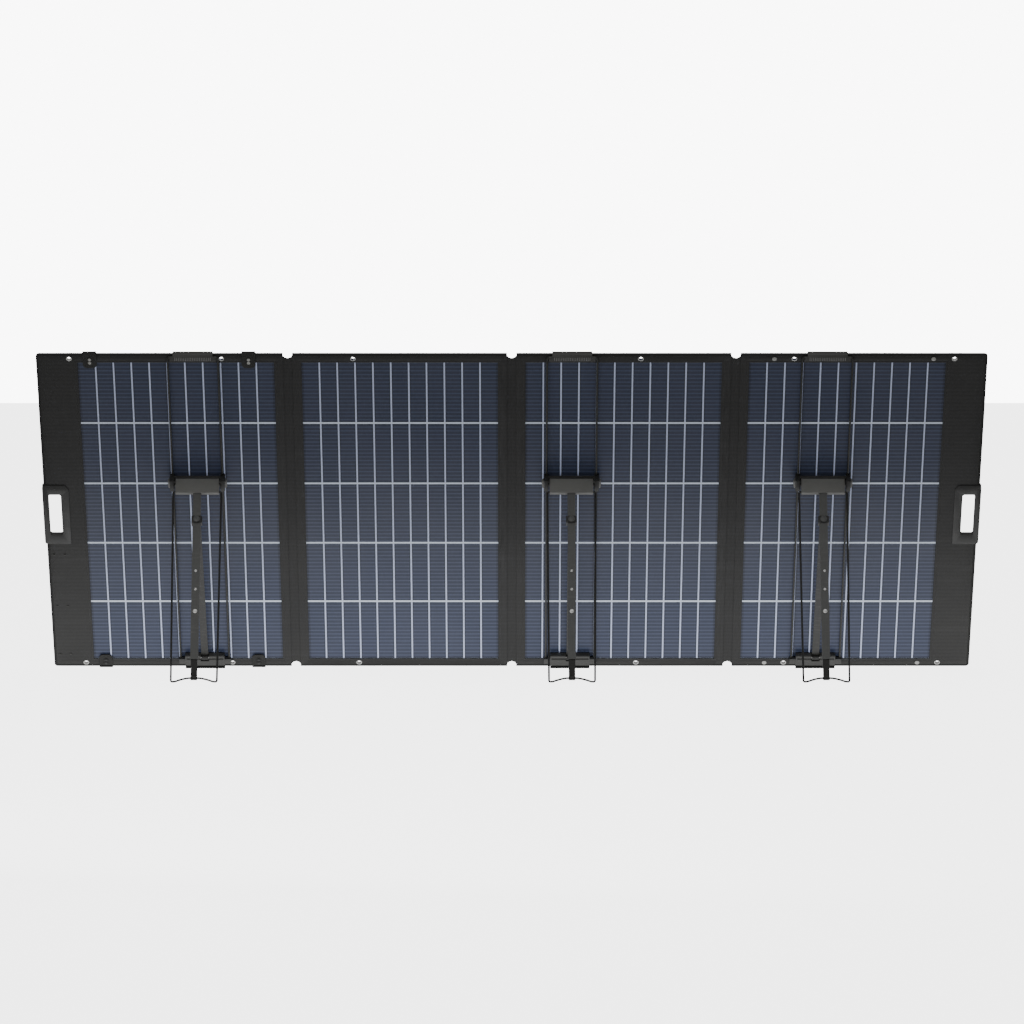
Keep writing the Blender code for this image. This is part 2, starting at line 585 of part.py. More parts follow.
def make_leg_wire(number, leg, material):
    """The leg's wire: down one side, arched across the foot and up the other."""
    name = f"leg_wire_{number}"
    reach = LEG_WIRE_FOOT_HALF - 8.0
    steps = 12
    arch = []
    for i in range(steps + 1):
        x = -reach + 2 * reach * i / steps
        flat = max(0.0, abs(x) - BAR_HALF - 1.0) / (reach - BAR_HALF - 1.0)
        arch.append((x, -LEG_LENGTH + FOOT_RISE - (FOOT_RISE - 0.8) * flat ** 1.6))
    inside = HEAD_HALF - 8.0
    side = bend([(-inside, -LEG_WIRE_TOP), (-LEG_WIRE_TOP_HALF, -LEG_WIRE_TOP),
                 (-LEG_WIRE_FOOT_HALF, -LEG_LENGTH), arch[0]], 3.0)[:-1]
    route = side + arch + [(-x, y) for x, y in reversed(side)]
    return link(name, wire(name, route, WIRE_RADIUS), material, leg)


def make_knuckle(number, leg, material):
    """The knuckle: a saddle over the channel whose two ears hold the strut pin."""
    name = f"knuckle_{number}"
    inn = CHANNEL_HALF + 0.4
    out = inn + KNUCKLE_WALL
    top = CHANNEL_DEEP / 2 + 0.4
    low = -PIN_DROP - KNUCKLE_PIN - 1.8
    section = [(-out, low), (-inn, low), (-inn, top), (inn, top), (inn, low), (out, low),
               (out, top + 0.6), (out - 1.2, top + 1.8), (-out + 1.2, top + 1.8), (-out, top + 0.6)]
    bottom, upper = -KNUCKLE_DOWN - KNUCKLE_TALL / 2, -KNUCKLE_DOWN + KNUCKLE_TALL / 2
    knuckle = link(name, prism(name, section, "Y", bottom, upper), material, leg)
    fuse(knuckle, rod("strut_pin", KNUCKLE_PIN, -KNUCKLE_DOWN, -PIN_DROP, -inn - 1.0, inn + 1.0, 12))
    fuse(knuckle, prism("boss", circle((0.0, -KNUCKLE_DOWN), KNUCKLE_BOSS, 20), "Z", top + 1.0, top + 3.2))
    return knuckle


def make_strut(number, x, parent, material):
    """The strut: a flat strip with a hinge eye at the bracket and an open hook under the knuckle pin."""
    name = f"strut_{number}"
    pivot = Pivot(name + "_axis", (x, BRACKET_PIN_Y, BRACKET_PIN_Z), parent, turn=STRUT_ANGLE)
    floor = -STRUT_EYE + STRUT_THICK
    clear = KNUCKLE_PIN + 0.4
    start = math.degrees(math.asin(floor / STRUT_EYE))
    profile = arc((0, 0), STRUT_EYE, start, 270, 14)
    profile = profile + [(STRUT_LENGTH + clear + STRUT_THICK, -STRUT_EYE),
                         (STRUT_LENGTH + clear + STRUT_THICK, STRUT_LIP),
                         (STRUT_LENGTH + clear, STRUT_LIP),
                         (STRUT_LENGTH + clear, floor)]
    strut = link(name, prism(name, profile, "X", -STRUT_HALF, STRUT_HALF), material, pivot)
    cut(strut, rod("hinge_hole", HINGE_HOLE, 0.0, 0.0, -2 * STRUT_HALF, 2 * STRUT_HALF))
    return strut


def make_stand(number, section, finishes):
    """One stand on the back of a section, standing open."""
    x = STAND_PLACES[number]
    body, light, steel, dark = (finishes[key] for key in ("moulding", "head", "steel", "strut"))
    name = f"panel_wire_{number}"
    link(name, wire(name, wire_route(), WIRE_RADIUS, WIRE_Z, cyclic=True), steel, section, (x, 0, 0))
    hook_axis = Pivot(f"top_hook_{number}_axis", (x, PANEL_HEIGHT, 0), section)
    make_top_hook(number, x, hook_axis, body)
    make_bracket(number, x, section, body)
    pin_half = BRACKET_HALF - 2.4
    name = f"bottom_pin_{number}"
    link(name, rod(name, HINGE_PIN, BRACKET_PIN_Y, BRACKET_PIN_Z, -pin_half, pin_half, 12),
         finishes["pin"], section, (x, 0, 0))
    carriage = Pivot(f"carriage_{number}_axis", (x, CARRIAGE_Y, WIRE_Z), section)
    make_carriage(number, x, carriage, body)
    name = f"carriage_axle_{number}"
    link(name, rod(name, AXLE_RADIUS, CARRIAGE_Y, PIVOT_Z, -AXLE_HALF, AXLE_HALF), finishes["pin"],
         carriage, (x, 0, 0))
    make_button(f"button_left_{number}", x, -1, carriage, finishes["button"])
    make_button(f"button_right_{number}", x, 1, carriage, finishes["button"])
    leg = Pivot(f"leg_{number}_axis", (x, CARRIAGE_Y, PIVOT_Z), carriage, turn=-OPEN)
    make_leg_head(number, leg, light)
    make_leg_channel(number, leg, light)
    make_foot_bar(number, leg, dark)
    make_leg_wire(number, leg, steel)
    make_knuckle(number, leg, body)
    make_strut(number, x, section, dark)


# ---------------------------------------------------------------- the whole object

def clear_scene():
    """Remove every object."""
    for old in list(bpy.data.objects):
        bpy.data.objects.remove(old, do_unlink=True)


def place_frame():
    """The panel's own frame: tilted, soles on the ground, centred front to back."""
    frame = Pivot("panel_frame")
    frame.empty.rotation_euler = (math.pi - TILT, 0.0, 0.0)
    rise = BRACKET_UNDER * math.sin(TILT) + SOLE_START_Z * math.cos(TILT)
    front = BRACKET_UNDER * math.cos(TILT) + (BACK_Z + LIP_THICK) * math.sin(TILT)
    corner_y, corner_z = PANEL_HEIGHT + HOOK_OVER, HOOK_BACK - 3.0
    rear = -(corner_y * math.cos(TILT) + corner_z * math.sin(TILT))
    frame.empty.location = (0.0, -(front + rear) / 2 * MM, rise * MM)
    return frame


def build():
    """Make every piece."""
    clear_scene()
    finishes = {
        "fabric": finish("fabric", (0.021, 0.021, 0.020), 0.85),
        "laminate": finish("laminate", (0.035, 0.045, 0.085), 0.30),
        "moulding": finish("moulding", (0.040, 0.040, 0.037), 0.50),
        "head": finish("head", (0.070, 0.070, 0.064), 0.45),
        "steel": finish("steel", (0.060, 0.060, 0.055), 0.40, 0.6),
        "strut": finish("strut", (0.015, 0.015, 0.015), 0.45, 0.3),
        "pin": finish("pin", (0.45, 0.45, 0.43), 0.35, 1.0),
        "button": finish("button", (0.20, 0.20, 0.19), 0.45),
    }
    section_3 = place_frame()
    section_2 = Pivot("section_2_axis", (0.0, 0.0, 0.0), section_3)
    section_1 = Pivot("section_1_axis", (-FOLD_X, 0.0, END_FOLD_DEPTH), section_2)
    section_4 = Pivot("section_4_axis", (FOLD_X, 0.0, END_FOLD_DEPTH), section_3)
    sections = {1: section_1, 2: section_2, 3: section_3, 4: section_4}
    for number, pivot in sections.items():
        make_cover(number, pivot, finishes["fabric"])
        make_laminate(number, pivot, finishes["laminate"])
    for number, (x, pivot) in enumerate(((-FOLD_X, section_2), (0.0, section_3), (FOLD_X, section_3)), 1):
        make_fabric_hinge(number, x, pivot, finishes["fabric"])
    make_handle("handle_left", -1, section_1, finishes["moulding"])
    make_handle("handle_right", 1, section_4, finishes["moulding"])
    for number, x in enumerate(STRAP_PLACES, 1):
        make_strap(f"strap_top_{number}", x, True, section_1, finishes["fabric"])
        make_strap(f"strap_bottom_{number}", x, False, section_1, finishes["fabric"])
    make_junction_box(section_1, finishes["moulding"])
    for number, section in STAND_SECTION.items():
        make_stand(number, sections[section], finishes)


build()
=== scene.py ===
"""The folding solar panel, dressed: covers, cells, straps, stands, floor, light and camera.

Sizes are in metres in the panel's own axes unless a line says otherwise: x runs along the bottom
edge, y up the panel from its bottom edge and z out of its back.
"""
import json
import logging
import math
from dataclasses import dataclass, field
from enum import Enum
from typing import Any, Callable, Optional, Sequence

import bmesh
import bpy
from mathutils import Matrix, Vector


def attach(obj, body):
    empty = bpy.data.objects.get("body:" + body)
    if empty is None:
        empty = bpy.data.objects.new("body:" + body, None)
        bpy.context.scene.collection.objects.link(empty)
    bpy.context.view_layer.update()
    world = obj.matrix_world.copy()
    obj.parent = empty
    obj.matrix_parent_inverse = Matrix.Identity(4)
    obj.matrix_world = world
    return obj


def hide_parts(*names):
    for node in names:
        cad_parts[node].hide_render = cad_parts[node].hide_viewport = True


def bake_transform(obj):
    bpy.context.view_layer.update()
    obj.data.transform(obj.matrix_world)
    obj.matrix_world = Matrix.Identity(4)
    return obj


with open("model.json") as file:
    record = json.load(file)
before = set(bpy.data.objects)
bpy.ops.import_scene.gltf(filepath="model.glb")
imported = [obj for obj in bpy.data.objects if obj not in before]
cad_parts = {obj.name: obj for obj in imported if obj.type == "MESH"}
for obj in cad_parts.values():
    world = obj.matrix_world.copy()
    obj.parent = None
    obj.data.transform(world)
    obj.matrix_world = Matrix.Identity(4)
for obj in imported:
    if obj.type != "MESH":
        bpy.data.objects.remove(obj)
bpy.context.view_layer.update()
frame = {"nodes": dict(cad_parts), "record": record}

log = logging.getLogger("solar_panel")
Point = tuple[float, float, float]
Piece, Material, Socket = bpy.types.Object, bpy.types.Material, bpy.types.NodeSocket
MM = 0.001
TINY = 1e-6


# ---------------------------------------------------------------- sizes

@dataclass(frozen=True)
class PanelSizes:
    """The unfolded panel's sizes."""

    height: float = 820 * MM
    fold_x: float = 432.4 * MM
    outer_x: float = 917.5 * MM
    thick: float = 6 * MM
    hinge_half: float = 9 * MM
    window_width: float = 379 * MM
    border: float = 20.5 * MM
    fold_margin: float = 26 * MM
    outer_corner: float = 7 * MM
    eyelet_inset: float = 10.5 * MM
    eyelet_radius: float = 4.5 * MM

    def cover_span(self, section: int) -> tuple[float, float]:
        """Returns a cover's left and right edges."""
        lines = (-self.outer_x, -self.fold_x, 0.0, self.fold_x, self.outer_x)
        left, right = lines[section - 1], lines[section]
        return (left if section == 1 else left + self.hinge_half,
                right if section == 4 else right - self.hinge_half)

    def window_span(self, section: int) -> tuple[float, float]:
        """Returns a window's left and right edges."""
        if section == 1:
            right = -self.fold_x - self.fold_margin
            return right - self.window_width, right
        if section == 4:
            left = self.fold_x + self.fold_margin
            return left, left + self.window_width
        middle = (-0.5 if section == 2 else 0.5) * self.fold_x
        return middle - self.window_width / 2, middle + self.window_width / 2


SIZES = PanelSizes()
EYELETS = {1: (-0.8535, -0.5600), 2: (-0.3060,), 3: (0.2490,), 4: (0.5450, 0.8535)}
STRAPS = {1: -0.8137, 2: -0.5073}
STANDS = {1: (1, -0.6147), 2: (3, 0.1167), 3: (4, 0.6087)}     # stand: (section, middle)


class Axes(Enum):
    """Which axes a piece is modelled in before it is set in place."""

    PANEL = "panel"
    LEG = "leg"


class PanelFrame:
    """Turns the panel's and the open legs' axes into the object's frame."""

    def __init__(self, record: dict[str, Any]) -> None:
        """Reads the tilt and the place from the middle fold line's joint.

        Args:
            record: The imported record.
        """
        joints = {joint["name"]: joint for joint in record["behaviour"]["joints"]}
        fold = joints["fold_2"]
        along, up = Vector((1, 0, 0)), Vector(fold["axis"]).normalized()
        back = along.cross(up)
        origin = Vector(fold["pos_m"]) - up * SIZES.height / 2
        self.panel = Matrix((
            (along.x, up.x, back.x, origin.x), (along.y, up.y, back.y, origin.y),
            (along.z, up.z, back.z, origin.z), (0, 0, 0, 1)))
        self.legs = {}
        for number in STANDS:
            leg = joints[f"leg_{number}_fold"]
            pivot = Vector(leg["pos_m"])
            turn = Matrix.Rotation(math.radians(-leg["range_deg"][1]), 4, "X")
            self.legs[number] = Matrix.Translation(pivot) @ self.panel.to_3x3().to_4x4() @ turn

    def matrix(self, axes: Axes, stand: int = 1) -> Matrix:
        """Returns the matrix from the named axes to the object's frame."""
        return self.panel if axes is Axes.PANEL else self.legs[stand]


PLACE = PanelFrame(frame["record"])


# ---------------------------------------------------------------- bench work

class Bench:
    """Modelling steps shared by the pieces."""

    @staticmethod
    def only(piece: Piece) -> None:
        """Selects one object and makes it active."""
        bpy.ops.object.select_all(action="DESELECT")
        piece.select_set(True)
        bpy.context.view_layer.objects.active = piece

    @staticmethod
    def start(adder: Callable[..., Any], name: str, scale: Point = (1, 1, 1), **settings: Any
              ) -> Piece:
        """Adds a primitive at its size and place.

        Args:
            adder: The primitive operator.
            name: The new object's name.
            scale: Its stretch along each axis.
            settings: The operator's own settings.

        Returns:
            The new object, with its place and scale in its mesh.
        """
        bpy.ops.object.select_all(action="DESELECT")
        adder(**settings)
        piece = bpy.context.object
        piece.name = piece.data.name = name
        piece.scale = scale
        bpy.ops.object.transform_apply(location=True, rotation=True, scale=True)
        return piece

    @staticmethod
    def pick(piece: Piece, kind: str, test: Callable[[Any], bool]) -> None:
        """Selects parts of a mesh by a test and leaves it in edit mode.

        Args:
            piece: The object.
            kind: "VERT", "EDGE" or "FACE".
            test: Says which parts are selected.
        """
        Bench.only(piece)
        bpy.ops.object.mode_set(mode="EDIT")
        bpy.ops.mesh.select_mode(type=kind)
        bpy.ops.mesh.select_all(action="DESELECT")
        mesh = bmesh.from_edit_mesh(piece.data)
        parts = {"VERT": mesh.verts, "EDGE": mesh.edges, "FACE": mesh.faces}[kind]
        for part in [part for part in parts if test(part)]:
            part.select_set(True)
        mesh.select_flush_mode()
        bmesh.update_edit_mesh(piece.data)

    @staticmethod
    def done() -> None:
        """Goes back to object mode."""
        bpy.ops.object.mode_set(mode="OBJECT")

    @staticmethod
    def slice(piece: Piece, axis: int, places: Sequence[float]) -> None:
        """Cuts the mesh through along one axis, at each place."""
        Bench.pick(piece, "FACE", lambda face: True)
        for place in places:
            bpy.ops.mesh.select_all(action="SELECT")
            where, normal = [0.0, 0.0, 0.0], [0.0, 0.0, 0.0]
            where[axis], normal[axis] = place, 1.0
            bpy.ops.mesh.bisect(plane_co=where, plane_no=normal)
        Bench.done()

    @staticmethod
    def modify(piece: Piece, kind: str, **settings: Any) -> None:
        """Adds a modifier and applies it."""
        Bench.only(piece)
        modifier = piece.modifiers.new(kind.lower(), kind)
        for key, value in settings.items():
            setattr(modifier, key, value)
        bpy.ops.object.modifier_apply(modifier=modifier.name)

    @staticmethod
    def repeat(piece: Piece, count: int, step: Point) -> None:
        """Repeats a piece along a line."""
        Bench.modify(piece, "ARRAY", count=count, use_relative_offset=False,
                     use_constant_offset=True, constant_offset_displace=step)

    @staticmethod
    def bevel(piece: Piece, width: float, segments: int, angle: float) -> None:
        """Rounds the edges sharper than an angle in degrees."""
        Bench.modify(piece, "BEVEL", width=width, segments=segments, limit_method="ANGLE",
                     angle_limit=math.radians(angle))

    @staticmethod
    def bore(piece: Piece, x: float, y: float, radius: float, sides: int) -> None:
        """Cuts a round hole through a piece along z."""
        Bench.cut(piece, Bench.start(bpy.ops.mesh.primitive_cylinder_add, "bore", vertices=sides,
                                     radius=radius, depth=20 * MM, location=(x, y, 0)))

    @staticmethod
    def cut(piece: Piece, cutter: Piece) -> None:
        """Cuts a cutter's shape out of a piece and removes the cutter."""
        Bench.modify(piece, "BOOLEAN", object=cutter, operation="DIFFERENCE", solver="EXACT")
        bpy.data.objects.remove(cutter)

    @staticmethod
    def merge(name: str, pieces: Sequence[Piece]) -> Piece:
        """Joins objects into one and names it."""
        bpy.ops.object.select_all(action="DESELECT")
        for piece in pieces:
            piece.select_set(True)
        bpy.context.view_layer.objects.active = pieces[0]
        if len(pieces) > 1:
            bpy.ops.object.join()
        joined = bpy.context.object
        joined.name = joined.data.name = name
        return joined

    @staticmethod
    def copy(piece: Piece, shift: Point) -> Piece:
        """Returns a copy with its own mesh, moved by shift."""
        made = piece.copy()
        made.data = piece.data.copy()
        made.name = "copy"
        bpy.context.scene.collection.objects.link(made)
        Bench.only(made)
        made.location = shift
        bpy.ops.object.transform_apply(location=True, rotation=False, scale=False)
        return made

    @staticmethod
    def settle(piece: Piece, matrix: Matrix, smooth: float = 40.0) -> Piece:
        """Sets a piece in its place, with the place in its mesh, and smooths its shading.

        Args:
            piece: The modelled object.
            matrix: From the axes it was modelled in to the object's frame.
            smooth: Edges flatter than this many degrees shade smoothly.

        Returns:
            The same object.
        """
        Bench.only(piece)
        piece.matrix_world = matrix
        bpy.ops.object.transform_apply(location=True, rotation=True, scale=True)
        bpy.ops.object.shade_smooth_by_angle(angle=math.radians(smooth))
        return piece


def dress(piece: Piece, material: Material) -> None:
    """Gives a piece one material."""
    piece.data.materials.clear()
    piece.data.materials.append(material)


def report(piece: Piece) -> None:
    """Logs a finished piece."""
    log.info("%s: %d faces", piece.name, len(piece.data.polygons))


def mount(piece: Piece, matrix: Matrix, material: Material, body: str,
          smooth: float = 35.0) -> None:
    """Sets a piece in place, finishes it and mounts it on its body."""
    Bench.settle(piece, matrix, smooth)
    dress(piece, material)
    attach(piece, body)
    report(piece)


# ---------------------------------------------------------------- finishes

class Recipe:
    """Adds and joins the nodes of one node tree."""

    def __init__(self, tree: bpy.types.NodeTree) -> None:
        """Keeps the tree to work on."""
        self.tree = tree

    def node(self, kind: str, inputs: Optional[dict[Any, Any]] = None, **settings: Any
             ) -> bpy.types.Node:
        """Adds a node.

        Args:
            kind: The node's type name, without ShaderNode.
            inputs: A value or a socket for each named or numbered input.
            settings: The node's own properties.

        Returns:
            The node.
        """
        made = self.tree.nodes.new("ShaderNode" + kind)
        for key, value in settings.items():
            setattr(made, key, value)
        for key, value in (inputs or {}).items():
            self.feed(made, key, value)
        return made

    def feed(self, made: bpy.types.Node, key: Any, value: Any) -> None:
        """Links a socket to a node's input, or sets the input's value."""
        if isinstance(value, Socket):
            self.tree.links.new(value, made.inputs[key])
        else:
            made.inputs[key].default_value = value

    def sum(self, operation: str, first: Any, second: Any = 0.0, third: Any = 0.0
            ) -> Socket:
        """Returns the result of a Math node."""
        return self.node("Math", {0: first, 1: second, 2: third}, operation=operation).outputs[0]

    def mix(self, factor: Any, first: Any, second: Any) -> Socket:
        """Returns the blend of two colours."""
        made = self.node("Mix", data_type="RGBA")
        self.feed(made, 0, factor)
        for key, colour in ((6, first), (7, second)):
            self.feed(made, key, (*colour, 1.0) if isinstance(colour, tuple) else colour)
        return made.outputs[2]

    def noise(self, vector: Any, scale: Any, detail: float = 2.0) -> Socket:
        """Returns a noise value."""
        return self.node("TexNoise", {"Vector": vector, "Scale": scale,
                                      "Detail": detail}).outputs[0]

    def surface(self, shader: bpy.types.Node, colour: Socket, roughness: Socket, height: Socket,
                strength: float, distance: float) -> None:
        """Gives a shader its colour, its roughness and its bump."""
        self.feed(shader, "Base Color", colour)
        self.feed(shader, "Roughness", roughness)
        bump = self.node("Bump", {"Height": height, "Strength": strength, "Distance": distance})
        self.feed(shader, "Normal", bump.outputs[0])

    def range(self, value: Any, low: float, high: float, new_low: float = 0.0, new_high: float = 1.0
              ) -> Socket:
        """Returns a value rescaled and held between two limits."""
        return self.node("MapRange", {0: value, 1: low, 2: high,
                                      3: new_low, 4: new_high}).outputs[0]


def new_group(name: str, inputs: Sequence[tuple[str, str]], outputs: Sequence[str]
              ) -> tuple[bpy.types.NodeTree, Recipe, dict[str, Any], bpy.types.Node]:
    """Starts a shader node group.

    Args:
        name: The group's name.
        inputs: Each input's name and socket type.
        outputs: The names of the value outputs.

    Returns:
        The group, its recipe, its input sockets by name and its output node.
    """
    group = bpy.data.node_groups.new(name, "ShaderNodeTree")
    for label, kind in inputs:
        group.interface.new_socket(label, in_out="INPUT", socket_type=kind)
    for label in outputs:
        group.interface.new_socket(label, in_out="OUTPUT", socket_type="NodeSocketFloat")
    source = group.nodes.new("NodeGroupInput")
    sink = group.nodes.new("NodeGroupOutput")
    return group, Recipe(group), {label: source.outputs[label] for label, _ in inputs}, sink


FLOAT, VECTOR = "NodeSocketFloat", "NodeSocketVector"
RADIAN_SHARE = 0.159            # one radian's share of a full turn


def ribbed_weave() -> bpy.types.NodeTree:
    """Makes the coated fabric's weave: fine threads under broad flat ribs."""
    group, recipe, given, sink = new_group(
        "ribbed_weave", (("Vector", VECTOR), ("Rib Pitch", FLOAT), ("Thread Pitch", FLOAT)),
        ("Height", "Rib"))
    parts = recipe.node("SeparateXYZ", {0: given["Vector"]}).outputs
    wander = recipe.noise(given["Vector"], 9.0, 3.0)
    along = recipe.sum("MULTIPLY_ADD", wander, 0.0012, parts[1])
    turns = recipe.sum("MULTIPLY", recipe.sum("DIVIDE", along, given["Rib Pitch"]), 2 * math.pi)
    rib = recipe.sum("MULTIPLY_ADD", recipe.sum("SINE", turns), 0.5, 0.5)
    pitch = recipe.sum("MULTIPLY", given["Thread Pitch"], RADIAN_SHARE)
    weft, warp = (recipe.sum("SINE", recipe.sum("DIVIDE", part, pitch)) for part in parts[:2])
    cloth = recipe.sum("MULTIPLY", weft, warp)
    height = recipe.sum("MULTIPLY_ADD", cloth, 0.22, rib)
    group.links.new(height, sink.inputs["Height"])
    group.links.new(rib, sink.inputs["Rib"])
    return group


def scuffs() -> bpy.types.NodeTree:
    """Makes faint dust clouds and rubbed streaks."""
    group, recipe, given, sink = new_group(
        "scuffs", (("Vector", VECTOR), ("Scale", FLOAT)), ("Dust", "Streak"))
    broad = recipe.noise(given["Vector"], given["Scale"], 5.0)
    dust = recipe.range(broad, 0.42, 0.72)
    long = recipe.node("Mapping", {"Vector": given["Vector"], "Scale": (1.0, 9.0, 9.0)}).outputs[0]
    fine = recipe.noise(long, given["Scale"], 6.0)
    streak = recipe.range(fine, 0.56, 0.74)
    group.links.new(dust, sink.inputs["Dust"])
    group.links.new(streak, sink.inputs["Streak"])
    return group


def moulded_grain() -> bpy.types.NodeTree:
    """Makes the fine pebble grain of a moulding."""
    group, recipe, given, sink = new_group(
        "moulded_grain", (("Vector", VECTOR), ("Size", FLOAT)), ("Height",))
    scale = recipe.sum("DIVIDE", 1.0, given["Size"])
    cells = recipe.node("TexVoronoi", {"Vector": given["Vector"], "Scale": scale},
                        feature="SMOOTH_F1")
    group.links.new(cells.outputs[0], sink.inputs["Height"])
    return group


WEAVE, SCUFFS, GRAIN = ribbed_weave(), scuffs(), moulded_grain()


def new_material(name: str
                 ) -> tuple[Material, Recipe, bpy.types.Node, Socket]:
    """Starts a material.

    Args:
        name: Its name.

    Returns:
        The material, its recipe, its Principled shader and the coordinates in the panel's axes.
    """
    material = bpy.data.materials.new(name)
    material.use_nodes = True
    recipe = Recipe(material.node_tree)
    shader = material.node_tree.nodes["Principled BSDF"]
    place = recipe.node("TexCoord").outputs["Object"]
    turn = PLACE.panel.to_euler("XYZ")
    panel = recipe.node("Mapping", {"Vector": place, "Location": PLACE.panel.translation[:],
                                    "Rotation": turn[:]}, vector_type="TEXTURE").outputs[0]
    return material, recipe, shader, panel


def placed(recipe: Recipe, group: bpy.types.NodeTree, inputs: dict[str, Any]
           ) -> bpy.types.NodeOutputs:
    """Adds a node group to a material and returns its outputs."""
    made = recipe.tree.nodes.new("ShaderNodeGroup")
    made.node_tree = group
    for key, value in inputs.items():
        recipe.feed(made, key, value)
    return made.outputs


@dataclass(frozen=True)
class FabricFinish:
    """Coated ribbed fabric, tape or thread."""

    name: str
    colour: Point
    rib_colour: Point
    rib_pitch: float = 9.6 * MM
    thread_pitch: float = 0.9 * MM
    roughness: float = 0.62
    bump: float = 0.3
    specular: float = 0.4
    dust: Point = (0.075, 0.072, 0.066)

    def make(self) -> Material:
        """Returns the material."""
        material, recipe, shader, panel = new_material(self.name)
        weave = placed(recipe, WEAVE, {"Vector": panel, "Rib Pitch": self.rib_pitch,
                                       "Thread Pitch": self.thread_pitch})
        wear = placed(recipe, SCUFFS, {"Vector": panel, "Scale": 6.0})
        cloth = recipe.mix(recipe.sum("MULTIPLY", weave["Rib"], 0.8), self.colour, self.rib_colour)
        dusty = recipe.mix(recipe.sum("MULTIPLY", wear["Dust"], 0.10), cloth, self.dust)
        rough = recipe.sum("MULTIPLY_ADD", wear["Streak"], -0.08, self.roughness)
        recipe.surface(shader, dusty, rough, weave["Height"], self.bump, 0.4 * MM)
        shader.inputs["Specular IOR Level"].default_value = self.specular
        return material


@dataclass(frozen=True)
class CellFinish:
    """Dark blue cells under a satin film, with fine fingers and pale busbars."""

    section: int
    deep: Point = (0.0240, 0.0330, 0.0660)
    light: Point = (0.062, 0.079, 0.140)
    bus: Point = (0.64, 0.71, 0.95)
    ribbon: Point = (0.78, 0.86, 1.0)
    columns: int = 11
    column: float = 34.4545 * MM
    row: float = 156.4 * MM
    row_start: float = 18.6 * MM
    finger: float = 9.6 * MM
    shade: Point = (0.012, 0.016, 0.030)      # beside busbars and ribbons
    dust: Point = (0.16, 0.16, 0.17)
    bus_half: float = 1.2 * MM
    bus_shade_half: float = 3.3 * MM
    ribbon_half: float = 1.9 * MM
    ribbon_shade_half: float = 3.8 * MM
    roughness: float = 0.42

    def line(self, recipe: Recipe, cells: Socket, half: float, soft: float
             ) -> Socket:
        """Returns 1 on the lines at whole cells and 0 between, where half and soft are in cells."""
        off = recipe.sum("PINGPONG", cells, 0.5)
        return recipe.range(off, half, half + soft, 1.0, 0.0)

    def make(self) -> Material:
        """Returns the material of one section's laminate."""
        material, recipe, shader, panel = new_material(f"cell_laminate_{self.section}")
        left, _ = SIZES.window_span(self.section)
        parts = recipe.node("SeparateXYZ", {0: panel}).outputs
        across = recipe.sum("DIVIDE", recipe.sum("SUBTRACT", parts[0], left), self.column)
        down = recipe.sum("DIVIDE", recipe.sum("SUBTRACT", parts[1], self.row_start), self.row)
        off_middle = recipe.sum("ABSOLUTE", recipe.sum("SUBTRACT", across, self.columns / 2))
        inside = recipe.sum("LESS_THAN", off_middle, self.columns / 2 - 0.25)
        bus = self.line(recipe, across, self.bus_half / self.column, 0.4 * MM / self.column)
        bus = recipe.sum("MULTIPLY", bus, inside)
        beside = self.line(recipe, across, self.bus_shade_half / self.column,
                           1.2 * MM / self.column)
        ribbon = self.line(recipe, down, self.ribbon_half / self.row, 0.5 * MM / self.row)
        under = self.line(recipe, down, self.ribbon_shade_half / self.row, 1.5 * MM / self.row)
        fingers = recipe.sum("PINGPONG", recipe.sum("DIVIDE", parts[1], self.finger), 0.5)
        finger = recipe.range(fingers, 0.06, 0.26, 1.0, 0.0)
        tint = recipe.range(recipe.noise(panel, 7.0, 3.0), 0.35, 0.65)
        paler = tuple(c * f for c, f in zip(self.deep, (1.28, 1.18, 1.12)))
        cell = recipe.mix(tint, self.deep, paler)
        cell = recipe.mix(recipe.sum("MULTIPLY", finger, 0.9), cell, self.light)
        broken = recipe.sum("MULTIPLY", beside, recipe.range(finger, 0.0, 1.0, 1.0, 0.45))
        cell = recipe.mix(recipe.sum("MULTIPLY", broken, 0.6), cell, self.shade)
        cell = recipe.mix(recipe.sum("MULTIPLY", under, 0.35), cell, self.shade)
        cell = recipe.mix(bus, cell, self.bus)
        cell = recipe.mix(ribbon, cell, self.ribbon)
        wear = placed(recipe, SCUFFS, {"Vector": panel, "Scale": 5.0})
        cell = recipe.mix(recipe.sum("MULTIPLY", wear["Dust"], 0.05), cell, self.dust)
        rough = recipe.sum("MULTIPLY_ADD", wear["Streak"], -0.05, self.roughness)
        pebble = placed(recipe, GRAIN, {"Vector": panel, "Size": 1.1 * MM})
        raised = recipe.sum("MULTIPLY_ADD", recipe.sum("MAXIMUM", bus, ribbon), 1.4,
                            recipe.sum("MULTIPLY", pebble["Height"], 0.35))
        recipe.surface(shader, cell, rough, raised, 0.25, 0.3 * MM)
        shader.inputs["Specular IOR Level"].default_value = 0.45
        return material


